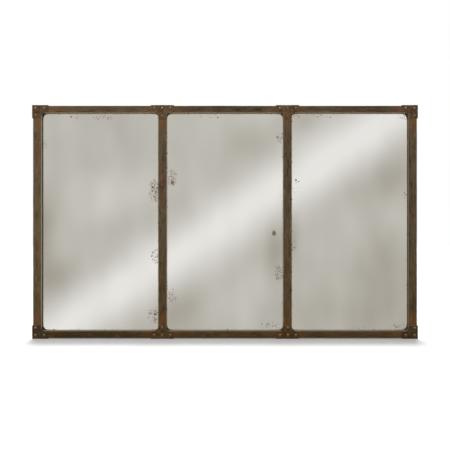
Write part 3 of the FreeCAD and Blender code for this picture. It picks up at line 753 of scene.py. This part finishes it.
def new_tree(name, inputs):
    """An empty geometry tree with its named inputs, and its graph."""
    tree = bpy.data.node_groups.new(name, "GeometryNodeTree")
    tree.interface.new_socket(name="Geometry", in_out="INPUT", socket_type="NodeSocketGeometry")
    for label, kind, value in inputs:
        socket = tree.interface.new_socket(name=label, in_out="INPUT", socket_type="NodeSocket" + kind)
        if value is not None:
            socket.default_value = value
    tree.interface.new_socket(name="Geometry", in_out="OUTPUT", socket_type="NodeSocketGeometry")
    graph = Graph(tree)
    return graph, graph.node("NodeGroupInput").outputs


def end_tree(graph, shape, material):
    """Ends a tree in plain geometry with its material."""
    whole = graph.flow("GeometryNodeRealizeInstances", None, {0: shape})
    dressed = graph.flow("GeometryNodeSetMaterial", None, {"Geometry": whole, "Material": material})
    graph.node("NodeGroupOutput", None, {0: dressed})
    return graph.tree


def run_tree(thing, tree, values):
    """Runs a geometry tree on an object and keeps the result as its plain mesh."""
    modifier = thing.modifiers.new(tree.name, "NODES")
    modifier.node_group = tree
    for item in tree.interface.items_tree:
        if item.in_out == "INPUT" and item.name in values:
            modifier[item.identifier] = values[item.name]
    return bake_modifiers(thing)


def cover_tree():
    """Runs a folded outline along a bar, wandering a little as hand-folded sheet does."""
    graph, given = new_tree("folded_cover", (
        ("Start", "Vector", None),
        ("Along", "Vector", None),
        ("Across", "Vector", None),
        ("Stations", "Int", 160),
        ("Outline points", "Int", 57),
        ("Wave", "Float", 0.0006),
        ("Seed", "Float", 0.0),
        ("Material", "Material", None),
    ))
    outline = graph.flow("GeometryNodeMeshToCurve", None, {0: given["Geometry"]})
    sizes = {"Size X": 1.0, "Size Y": 1.0}
    sizes.update({"Vertices X": given["Outline points"], "Vertices Y": given["Stations"]})
    grid = graph.flow("GeometryNodeMeshGrid", None, sizes, "Mesh")
    spot = graph.flow("GeometryNodeInputPosition")
    around, share = spot.part(0) + 0.5, spot.part(1) + 0.5
    values = {"Curves": outline, "Factor": around}
    section = graph.flow("GeometryNodeSampleCurve", {"mode": "FACTOR"}, values, "Position")

    def sway(reach, offset):
        seed = Flow(graph, given["Seed"]) + offset
        value = graph.flow("ShaderNodeTexNoise", {"noise_dimensions": "2D"}, {
            "Vector": graph.flow("ShaderNodeCombineXYZ", None, {0: share * reach, 1: seed}),
            "Scale": 1.0, "Detail": 3.0, "Roughness": 0.5,
        })
        return (value - 0.5) * 2 * Flow(graph, given["Wave"])

    def moved(start, way, amount):
        values = {0: way, 1: amount, 2: start}
        return graph.flow("ShaderNodeVectorMath", {"operation": "MULTIPLY_ADD"}, values)

    place = moved(given["Start"], given["Along"], share)
    place = moved(place, given["Across"], section.part(0) + sway(9, 3.1))
    place = moved(place, (0, 1, 0), section.part(1) + sway(11, 17.7) * 0.4)
    folded = graph.flow("GeometryNodeSetPosition", None, {"Geometry": grid, "Position": place})
    return end_tree(graph, folded, given["Material"])


def copies_tree():
    """Sets one fastener on every point, each turned by its own amount about Y and a little by chance."""
    graph, given = new_tree("placed_fasteners", (
        ("Fastener", "Object", None),
        ("Spread", "Float", 0.0),
        ("Lean", "Float", 0.0),
        ("Seed", "Int", 7),
        ("Material", "Material", None),
    ))
    shape = graph.flow("GeometryNodeObjectInfo", None, {"Object": given["Fastener"]}, "Geometry")
    turn = graph.flow("GeometryNodeInputNamedAttribute", {"data_type": "FLOAT"}, {"Name": "turn"})

    def chance(reach, seed):
        values = {2: Flow(graph, reach) * -1, 3: reach, "Seed": Flow(graph, given["Seed"]) + seed}
        return graph.flow("FunctionNodeRandomValue", {"data_type": "FLOAT"}, values, 1)

    angles = {0: chance(given["Lean"], 1), 1: turn + chance(given["Spread"], 2), 2: chance(given["Lean"], 3)}
    values = {"Points": given["Geometry"], "Instance": shape}
    values["Rotation"] = graph.flow("ShaderNodeCombineXYZ", None, angles)
    placed = graph.flow("GeometryNodeInstanceOnPoints", None, values)
    return end_tree(graph, placed, given["Material"])


def place_copies(master, rows, node, ending, slot, material, seed, spread=0.0, lean=0.0):
    """One piece of like fasteners, from rows of (place, turn), in place of one group of solids."""
    mesh = bpy.data.meshes.new(node + ending)
    mesh.from_pydata([place for place, turn in rows], [], [])
    turns = mesh.attributes.new("turn", "FLOAT", "POINT")
    turns.data.foreach_set("value", [turn for place, turn in rows])
    thing = add_object(node + ending, mesh)
    pattern = add_object(node + "_pattern", master)
    values = {"Fastener": pattern, "Spread": spread, "Lean": lean, "Seed": seed, "Material": material}
    made = run_tree(thing, bpy.data.node_groups.get("placed_fasteners") or copies_tree(), values)
    bpy.data.objects.remove(pattern)
    smooth(made)
    seat(thing, "frame", slot, node)


# Shapes of the pieces


def channel_outline(outer, inner, outer_end, inner_end):
    """The closed outline of a folded cover as (across, y), with rounded folds."""
    way = 1 if outer > inner else -1
    far = FOLD + SHEET

    def fold(across, radius, start, stop):
        bend = arc((0, COVER_FRONT + far), radius, start, stop, 6)
        return [(across + way * aside, y) for aside, y in bend]

    near_outer, near_inner = outer - way * far, inner + way * far
    points = [(outer, outer_end)] + fold(near_outer, far, 0, -90) + fold(near_inner, far, -90, -180)
    points += [(inner, inner_end), (inner + way * SHEET, inner_end)]
    points += fold(near_inner, FOLD, 180, 270) + fold(near_outer, FOLD, 270, 360)
    return points + [(outer - way * SHEET, outer_end)]


def even_outline(points):
    """Adds points to a closed outline's long runs."""
    filled = []
    for index, point in enumerate(points):
        start, stop = Vector(point), Vector(points[(index + 1) % len(points)])
        parts = max(1, round((stop - start).length / OUTLINE_RUN))
        filled += [tuple(start.lerp(stop, part / parts)) for part in range(parts)]
    return filled


def make_cover(bar, sizes, colours):
    """A folded cover of one bar."""
    node = bar + "_cover"
    low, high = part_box(node)
    rail = bar.endswith("rail")
    run, axis = (0, 2) if rail else (2, 0)
    along, across = Vector((0, 0, 0)), Vector((0, 0, 0))
    along[run] = across[axis] = 1
    inner, outer = sorted((low[axis], high[axis]), key=lambda place: abs(place - MIDDLE[axis]))
    outer_end = GLASS_FRONT if bar.endswith("mullion") else BAR_BACK
    outline = even_outline(channel_outline(outer, inner, outer_end, GLASS_FRONT))
    count = len(outline)
    edges = [(step, (step + 1) % count) for step in range(count)]
    mesh = bpy.data.meshes.new(node)
    mesh.from_pydata([(u, v, 0) for u, v in outline], edges, [])
    thing = add_object(node + "_folded", mesh)
    folded = run_tree(thing, bpy.data.node_groups.get("folded_cover") or cover_tree(), {
        "Start": along * low[run],
        "Along": along * (high[run] - low[run]),
        "Across": across,
        "Stations": 200 if rail else 120,
        "Outline points": count + 1,
        "Wave": sizes.wave,
        "Seed": float(sizes.seed + BARS.index(bar) * 11),
        "Material": cover_finish(bar, colours),
    })
    shaped = from_mesh(folded)
    close_up(shaped)
    shaped.to_mesh(folded)
    shaped.free()
    smooth(folded, 50)
    seat(thing, "frame", "aged_steel", node)


def make_plate(node, sizes, material):
    """One joint plate with hammered faces and softened edges."""
    made = from_mesh(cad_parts[node].data)
    bmesh.ops.remove_doubles(made, verts=made.verts, dist=MERGE)
    thing = add_object(node + "_hammered", to_mesh(made, node))
    remesh = thing.modifiers.new("grain", "REMESH")
    remesh.mode, remesh.voxel_size = "VOXEL", sizes.voxel
    ease = thing.modifiers.new("ease", "SMOOTH")
    ease.factor, ease.iterations = 0.5, 3
    mesh = bake_modifiers(thing)
    normals = [vertex.normal.copy() for vertex in mesh.vertices]
    for vertex, normal in zip(mesh.vertices, normals):
        broad, sharp = noise.noise(vertex.co * 90), noise.noise(vertex.co * 260)
        vertex.co += normal * sizes.dent * (broad * 0.8 + sharp * 0.25 - 0.1)
    keep_inside(mesh, node)
    mesh.materials.clear()
    mesh.materials.append(material)
    smooth(mesh, 60)
    seat(thing, "frame", "plate_steel", node)


def dome(radius, rise, rings):
    """Points (radius, y) of a dome's upper side, from its top to its rim, with y above the rim as height."""
    points = [(0, rise)]
    for ring in range(1, rings + 1):
        angle = math.pi / 2 * ring / rings
        points.append((radius * math.sin(angle), rise * (0.12 + 0.88 * math.cos(angle))))
    return points


def nail_mesh(sizes):
    """A nail with a hand-hammered dome, its head's underside at the origin and its point towards the wall."""
    length, wide, tip, ease, deepest = (size * MM for size in (19.9, 1.8, 0.5, 0.2, 0.22))
    head = [(radius, -height) for radius, height in dome(sizes.nail_radius * 0.98, sizes.nail_rise, 9)]
    made = turned(head + [(sizes.nail_radius * 0.95, 0), (0, 0)], 28)
    for vertex in made.verts:
        if vertex.co.y < -1e-5:
            dent = noise.noise(vertex.co * 420) * deepest
            vertex.co *= 1 - abs(dent) / sizes.nail_radius
    shank = bmesh.ops.create_cone(
        made, cap_ends=True, segments=4, radius1=wide, radius2=tip, depth=length,
        matrix=Matrix.Translation((0, length / 2, 0)) @ Matrix.Rotation(-math.pi / 2, 4, "X")
        @ Matrix.Rotation(math.pi / 4, 4, "Z"),
    )
    edges = {edge for vertex in shank["verts"] for edge in vertex.link_edges}
    bmesh.ops.bevel(made, geom=list(edges), offset=ease, segments=1, affect="EDGES")
    return to_mesh(made, "nail")


def nail_places(plate):
    """Where a plate's nails stand, as (x, z)."""
    kind, _, level, side = plate.split("_")
    up, way = LEVELS[level], SIDES[side]
    low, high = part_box(plate)
    edge = {-1: low, 1: high}
    row, foot = edge[up].z - NAIL_EDGE * up, edge[-up].z + NAIL_FOOT * up
    if kind == "corner":
        upright = edge[way].x - NAIL_EDGE * way
        return [(upright, row), (edge[-way].x + NAIL_END * way, row), (upright, foot)]
    upright = (low.x + high.x) / 2
    return [(low.x + NAIL_END, row), (upright, row), (high.x - NAIL_END, row), (upright, foot)]


def cross_cutter(radius, top, bottom):
    """A tapered cross along Y that cuts the recess of a screw head of that radius.

    The reach of its arms and half their width are shares of the radius.
    """
    turns = [Matrix.Rotation(-math.pi / 2 * quarter, 3, "Y") for quarter in range(4)]
    loops = []
    for y, reach, half in ((top, 0.62, 0.13), (bottom, 0.22, 0.09)):
        places = ((reach, half), (half, half), (half, reach))
        corners = [Vector((x * radius, y, z * radius)) for x, z in places]
        loops.append([turn @ corner for turn in turns for corner in corners])
    return skin(loops)


def screw_mesh(name, radius, rise, shank, length):
    """A round-headed screw with a cross recess, its head at the back and its point towards the front.

    The sizes are in millimetres.
    """
    radius, rise, shank, length = (size * MM for size in (radius, rise, shank, length))
    tip = [(radius * 0.94, 0), (shank, 0), (shank, -length + shank * 2), (0, -length)]
    blank = add_object(name + "_blank", to_mesh(turned(dome(radius, rise, 12) + tip, 32), name, 0))
    cutter = add_object(name + "_cutter", to_mesh(cross_cutter(radius, rise * 1.1, rise * 0.3), name, 0))
    recess = blank.modifiers.new("recess", "BOOLEAN")
    recess.object, recess.operation, recess.solver = cutter, "DIFFERENCE", "EXACT"
    made = from_mesh(bake_modifiers(blank))
    for thing in (blank, cutter):
        bpy.data.objects.remove(thing)
    bmesh.ops.dissolve_degenerate(made, edges=made.edges, dist=MERGE * 3)
    return to_mesh(made, name, 0)


def clip_mesh():
    """An offset clip of bent sheet: its base along +X on the bar's back, and its tab on the board."""
    drop, bend, tab, base, half, corner = (size * MM for size in (1.5, 1.8, 9, 13, 7, 1.2))
    upper, lower = CLIP_SHEET / 2, CLIP_SHEET / 2 - drop
    rows = []
    for share in (0, 0.35, 0.7, 1):
        rows.append((lower, -tab * (1 - share) - bend * share, half - corner * (1 - share) ** 3))
    for step in range(1, 6):
        share = step / 6
        rise = (1 - math.cos(math.pi * share)) / 2
        rows.append((lower + drop * rise, bend * (share - 1), half))
    for share in (0, 0.3, 0.65, 1):
        rows.append((upper, base * share, half - corner * share ** 3))
    made = bent_strip(rows, CLIP_SHEET)
    bmesh.ops.transform(made, matrix=Matrix.Rotation(math.pi / 2, 4, "Y"), verts=made.verts)
    return to_mesh(made, "clip")


def clip_places(pane):
    """The rebate's edge at each of a pane's clips, and the turn that points the clip away from the glass."""
    low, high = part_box(pane + "_mirror")
    gap = 1 * MM
    centre = (low + high) / 2
    reach = (high.z - low.z) / 2 * (0.5 if pane == "centre" else 0.62)
    places = [((centre.x, high.z + gap), 90), ((centre.x, low.z - gap), 270)]
    for up in LEVELS.values():
        places.append(((high.x + gap, centre.z + reach * up), 0))
        places.append(((low.x - gap, centre.z + reach * up), 180))
    return places


def make_strap(side, material):
    """A strap, flat on the bar's back with a rounded foot, and rolled round the ring's wire at its top."""
    node = side + "_hanger_strap"
    low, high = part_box(node)
    half, corner, flat = (high.x - low.x) / 2, 6 * MM, BAR_BACK + SHEET / 2
    rows = [(flat, z, width) for z, width in arc((low.z + corner, half - corner), corner, 180, 90, 8)]
    rows += [(flat, z * MM, half) for z in (-46, -36, -26, -16, -8)]
    rows += [(y, z, half) for y, z in arc((PIVOT_Y, 0), high.z - SHEET / 2, 180, -55, 28)]
    made = bent_strip(rows, SHEET)
    bmesh.ops.translate(made, vec=(middle_of(node).x, 0, 0), verts=made.verts)
    seat_mesh(to_mesh(made, node), node, "_rolled", "zinc_steel", [material])


def make_ring(side, wire, material):
    """A D-ring of bent wire."""
    node = side + "_hanger_ring"
    low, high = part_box(node)
    half, bend, foot = (high.x - low.x) / 2 - wire, 4 * MM, -7 * MM
    outline = arc((half - bend, -bend), bend, 90, 0, 8) + arc((0, foot), half, 0, -180, 36)
    outline += arc((bend - half, -bend), bend, 180, 90, 8)
    points = [Vector((middle_of(node).x + x, PIVOT_Y, z)) for x, z in outline]
    mesh = to_mesh(wire_loop(points, wire), node, 60)
    seat_mesh(mesh, node, "_bent", "zinc_steel", [material], side + "_ring")


# Stage


# Soft clouds on the card: how far right and up, half width and half height in metres, and how much paler, or
# darker below 0
CLOUDS = (
    (-2.20, -0.70, 0.22, 0.75, -0.40), (-1.50, 0.02, 0.85, 0.35, 0.22), (-1.25, -0.45, 0.5, 0.16, -0.10),
    (0.60, -0.74, 0.13, 0.36, -0.44), (-0.62, -1.45, 0.24, 0.34, -0.34), (0.30, -1.30, 0.34, 0.45, 0.26),
    (-0.40, 0.42, 0.55, 0.30, -0.12), (0.30, 0.55, 0.30, 0.26, -0.26), (1.95, 0.17, 0.28, 0.26, -0.38),
    (1.98, -1.20, 0.50, 0.62, -0.22), (1.15, -0.72, 0.24, 0.30, 0.10), (0.80, -0.52, 0.09, 0.30, -0.26),
    (1.55, -1.50, 0.45, 0.24, -0.12), (1.48, 0.00, 0.3, 0.16, -0.12), (1.98, -0.35, 0.30, 0.20, 0.14),
    (0.93, 0.82, 0.22, 0.16, -0.28), (-1.92, -1.06, 0.26, 0.24, -0.34), (0.75, -1.50, 0.40, 0.30, -0.15),
    (-0.95, -1.30, 0.20, 0.20, 0.14), (-1.60, 0.30, 0.25, 0.16, -0.12),
)

# The card's bright bands: how far each lies above the slanting line, its half width, and how bright it is
BANDS = ((0, 0.40, 1.0), (1.05, 0.34, 0.10), (-0.95, 0.3, 0.06))

# Lamps and camera: places in metres, watts for the key, the high lamp's strength, width and lean, how much
# the floor glows where it is seen, and how bright the world is where it isn't
KEY_PLACE = (-1.9, -2.0, 1.7)
KEY_SIZE = (1.6, 1.2)
KEY_POWER = 21
HIGH_STRENGTH = 3.0
HIGH_WIDTH = math.radians(8.4)
HIGH_LEAN = math.radians(-7.6)
FLOOR_GLOW = 0.10
FILL = 0.45
CAMERA_PLACE = (0, -2.2365, -0.4235)
CAMERA_LENS = 41.2
WHITE = (1, 1, 1, 1)


def stage_plane(name, corners, material):
    """A plane of the stage, which isn't part of the mirror."""
    mesh = bpy.data.meshes.new(name)
    mesh.from_pydata(corners, [], [(0, 1, 2, 3)])
    mesh.materials.append(material)
    thing = add_object(name, mesh)
    return thing


def white_floor():
    """White floor that keeps the soft shadow under the frame."""
    finish = Finish("white_floor")
    colour = finish.blend(finish.noise(3, 2, 0.5), (0.80, 0.80, 0.80), (0.82, 0.82, 0.82))
    diffuse = finish.flow("ShaderNodeBsdfDiffuse", None, {"Color": colour})
    glow = finish.flow("ShaderNodeEmission", None, {"Color": WHITE, "Strength": finish.seen() * FLOOR_GLOW})
    both = finish.end(finish.flow("ShaderNodeAddShader", None, {0: diffuse, 1: glow}))
    reach, level = 9, CAD_BOX[0].z
    corners = [(-reach, -reach, level), (reach, -reach, level), (reach, reach, level), (-reach, reach, level)]
    stage_plane("floor", corners, both).visible_glossy = False


def reflected_card():
    """A pale card behind the camera, with a slanting bright band, that only reflections see."""
    finish = Finish("reflected_card")
    bend = finish.x.rise(-0.76, -0.78) * -0.13 + finish.x.rise(0.76, 0.78) * 0.07
    line = finish.z - finish.x * 0.70 + 0.43 + bend
    drift = finish.noise(0.8, 2, 0.5)
    smoke = finish.noise(1.9, 1, 0.5, (1.4, 1, 0.7), 4.0)
    share = (drift - 0.5) * 0.35 + (smoke - 0.5) * 0.45 + (finish.z + 0.4) * 0.05
    for centre, width, bright in BANDS:
        far = (line - centre) / width
        share = share + (far * far * -1).alone("EXPONENT") * bright
    for across, up, wide, tall, paler in CLOUDS:
        share = share + (finish.oval(across, up, wide, tall) * -1).alone("EXPONENT") * paler
    colour = finish.blend((share + 0.4) / 1.4, (0.410, 0.385, 0.328), (0.915, 0.910, 0.885))
    glow = finish.end(finish.flow("ShaderNodeEmission", None, {"Color": colour, "Strength": 1.0}))
    side, away, bottom, top = 7, -4, -7, 6
    corners = [(-side, away, bottom), (side, away, bottom), (side, away, top), (-side, away, top)]
    card = stage_plane("reflected_card", corners, glow)
    card.visible_camera = card.visible_diffuse = card.visible_shadow = False


def studio_world():
    """Plain light all round, white wherever it is seen or reflected."""
    world = bpy.data.worlds.new("studio")
    world.use_nodes = True
    bpy.context.scene.world = world
    graph = Graph(world.node_tree)
    graph.tree.nodes.clear()
    fill = graph.flow("ShaderNodeBackground", None, {"Color": WHITE, "Strength": FILL})
    white = graph.flow("ShaderNodeBackground", None, {"Color": WHITE, "Strength": 1.0})
    both = graph.flow("ShaderNodeMixShader", None, {0: graph.seen(), 1: fill, 2: white})
    graph.node("ShaderNodeOutputWorld", None, {"Surface": both})


def studio_lights():
    """A soft key from the upper left, and a high soft lamp behind that throws a short shadow forwards."""
    lamp = bpy.data.lights.new("key_light", "AREA")
    lamp.shape = "RECTANGLE"
    lamp.size, lamp.size_y = KEY_SIZE
    lamp.energy = KEY_POWER
    key = add_object("key_light", lamp)
    key.location = KEY_PLACE
    aim = Vector((0, 0, MIDDLE.z)) - key.location
    key.rotation_euler = aim.to_track_quat("-Z", "Y").to_euler()
    key.visible_glossy = key.visible_transmission = False
    high = bpy.data.lights.new("high_light", "SUN")
    high.energy, high.angle = HIGH_STRENGTH, HIGH_WIDTH
    add_object("high_light", high).rotation_euler = (HIGH_LEAN, 0, 0)


def straight_camera():
    """Straight on, as the photograph was taken."""
    lens = bpy.data.cameras.new("camera")
    lens.sensor_width = 36
    lens.lens = CAMERA_LENS
    lens.clip_start, lens.clip_end = 0.05, 60
    camera = add_object("camera", lens)
    camera.location = CAMERA_PLACE
    camera.rotation_euler = (math.pi / 2, 0, 0)
    bpy.context.scene.camera = camera


# Steps


def settings(context):
    """The sizes and the colours that are set in the scene."""
    return context.scene.mirror_sizes, context.scene.mirror_colours


class MirrorStep:
    """What the steps share: their place in Blender's menus, and the settings that they are given."""

    bl_options = {"REGISTER", "UNDO"}

    def execute(self, context):
        self.make(*settings(context))
        return {"FINISHED"}


class MIRROR_OT_covers(MirrorStep, bpy.types.Operator):
    """Folds the six steel covers of the bars"""

    bl_idname = "mirror.covers"
    bl_label = "Bar covers"

    def make(self, sizes, colours):
        for bar in BARS:
            make_cover(bar, sizes, colours)


class MIRROR_OT_cores(MirrorStep, bpy.types.Operator):
    """Gives the timber cores their grain"""

    bl_idname = "mirror.cores"
    bl_label = "Timber cores"

    def make(self, sizes, colours):
        grain = {along: timber_finish(along, colours) for along in "xz"}
        for bar in BARS:
            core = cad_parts[bar + "_core"].data
            core.materials.clear()
            core.materials.append(grain["x" if bar.endswith("rail") else "z"])


class MIRROR_OT_plates(MirrorStep, bpy.types.Operator):
    """Hammers the eight joint plates"""

    bl_idname = "mirror.plates"
    bl_label = "Joint plates"

    def make(self, sizes, colours):
        material = plate_finish(colours)
        for node in PLATES:
            make_plate(node, sizes, material)


class MIRROR_OT_nails(MirrorStep, bpy.types.Operator):
    """Drives the domed nails through the joint plates"""

    bl_idname = "mirror.nails"
    bl_label = "Nails"

    def make(self, sizes, colours):
        material = nail_finish(colours)
        nail = nail_mesh(sizes)
        for index, plate in enumerate(PLATES):
            node = "nails_" + plate.replace("_plate", "")
            rows = [((x, PLATE_FRONT, z), 0.0) for x, z in nail_places(plate)]
            seed = sizes.seed + index
            place_copies(nail, rows, node, "_hammered", "nail_steel", material, seed, spread=0.35, lean=0.03)


class MIRROR_OT_panes(MirrorStep, bpy.types.Operator):
    """Cuts the three panes and silvers them"""

    bl_idname = "mirror.panes"
    bl_label = "Panes"

    def make(self, sizes, colours):
        edge, paint = ground_finish(), backing_paint_finish()
        for pane in PANES:
            node = pane + "_mirror"
            mesh = to_mesh(slab(*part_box(node), sizes.ground_edge), node, 0)
            materials = (silver_finish(pane, colours), edge, paint)
            seat_mesh(mesh, node, "_silvered", "mirror_glass", materials)


class MIRROR_OT_boards(MirrorStep, bpy.types.Operator):
    """Cuts the three backing boards"""

    bl_idname = "mirror.boards"
    bl_label = "Backing boards"

    def make(self, sizes, colours):
        material = board_finish(colours)
        for pane in PANES:
            node = pane + "_backing_board"
            mesh = to_mesh(slab(*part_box(node), BOARD_EASE), node, 0)
            seat_mesh(mesh, node, "_sawn", "board", [material] * 3)


class MIRROR_OT_clips(MirrorStep, bpy.types.Operator):
    """Screws the offset clips over the boards' edges"""

    bl_idname = "mirror.clips"
    bl_label = "Board clips"

    def make(self, sizes, colours):
        zinc = zinc_finish(colours)
        clip = clip_mesh()
        screw = screw_mesh("clip_screw", 3, 1.8, 1.4, 12)
        out = 5 * MM
        for index, pane in enumerate(PANES):
            rows, screws = [], []
            for (x, z), degrees in clip_places(pane):
                turn = math.radians(degrees)
                head = (x + out * math.cos(turn), BAR_BACK + CLIP_SHEET, z + out * math.sin(turn))
                rows.append(((x, BAR_BACK, z), -turn))
                screws.append((head, 0.0))
            seed = sizes.seed + index
            place_copies(clip, rows, pane + "_board_clips", "_bent", "zinc_steel", zinc, seed)
            place_copies(screw, screws, pane + "_clip_screws", "_driven", "zinc_steel", zinc, seed, 0.8)


class MIRROR_OT_hangers(MirrorStep, bpy.types.Operator):
    """Rolls the hanging straps round their D-rings"""

    bl_idname = "mirror.hangers"
    bl_label = "Hanging straps and rings"

    def make(self, sizes, colours):
        zinc = zinc_finish(colours)
        screw = screw_mesh("strap_screw", 4, 2.2, 1.9, 18)
        for side, way in SIDES.items():
            make_strap(side, zinc)
            make_ring(side, sizes.wire_radius, zinc)
            node = side + "_hanger_screws"
            x = middle_of(side + "_hanger_strap").x
            rows = [((x, BAR_BACK + SHEET, z), 0.0) for z in STRAP_SCREWS]
            place_copies(screw, rows, node, "_driven", "zinc_steel", zinc, sizes.seed + 20 + way, spread=0.8)


class MIRROR_OT_bumpers(MirrorStep, bpy.types.Operator):
    """Moulds the four rubber wall bumpers"""

    bl_idname = "mirror.bumpers"
    bl_label = "Wall bumpers"

    # Radius and place from the wall, in millimetres
    PROFILE = (
        (0, -0.25), (5.516, -0.25), (6.2055, -0.05), (6.895, 0), (7.486, -0.35), (7.7815, -1.0),
        (8.274, -3.0), (8.668, -5.0), (8.865, -6.4), (8.865, -7.7), (8.668, -8.0), (0, -8.0),
    )

    def make(self, sizes, colours):
        material = rubber_finish(colours)
        for level in LEVELS:
            for side in SIDES:
                node = "wall_bumper_%s_%s" % (level, side)
                made = turned([(radius * MM, y * MM) for radius, y in self.PROFILE], 48)
                centre = middle_of(node)
                bmesh.ops.translate(made, vec=(centre.x, 0, centre.z), verts=made.verts)
                seat_mesh(to_mesh(made, node), node, "_moulded", "bumper_rubber", [material])


class MIRROR_OT_stage(MirrorStep, bpy.types.Operator):
    """Sets the floor, the soft lights, what the glass reflects, and the camera"""

    bl_idname = "mirror.stage"
    bl_label = "Stage"

    def make(self, sizes, colours):
        for part in (white_floor, reflected_card, studio_world, studio_lights, straight_camera):
            part()


STEPS = (
    MIRROR_OT_covers, MIRROR_OT_cores, MIRROR_OT_plates, MIRROR_OT_nails, MIRROR_OT_panes, MIRROR_OT_boards,
    MIRROR_OT_clips, MIRROR_OT_hangers, MIRROR_OT_bumpers, MIRROR_OT_stage,
)


class MIRROR_PT_panel(bpy.types.Panel):
    """The mirror's settings and steps"""

    bl_label = "Triptych mirror"
    bl_idname = "MIRROR_PT_panel"
    bl_space_type = "VIEW_3D"
    bl_region_type = "UI"
    bl_category = "Mirror"

    def draw(self, context):
        for group in settings(context):
            column = self.layout.column(align=True)
            for name in group.__annotations__:
                column.prop(group, name)
        for step in STEPS:
            self.layout.operator(step.bl_idname)


CLASSES = (MirrorSizes, MirrorColours) + STEPS + (MIRROR_PT_panel,)


def register():
    for entry in CLASSES:
        bpy.utils.register_class(entry)
    bpy.types.Scene.mirror_sizes = PointerProperty(type=MirrorSizes)
    bpy.types.Scene.mirror_colours = PointerProperty(type=MirrorColours)


def unregister():
    del bpy.types.Scene.mirror_colours
    del bpy.types.Scene.mirror_sizes
    for entry in reversed(CLASSES):
        bpy.utils.unregister_class(entry)


def main():
    register()
    bpy.context.scene.view_settings.view_transform = "Standard"
    for step in STEPS:
        group, name = step.bl_idname.split(".")
        getattr(getattr(bpy.ops, group), name)()


if __name__ == "__main__":
    main()
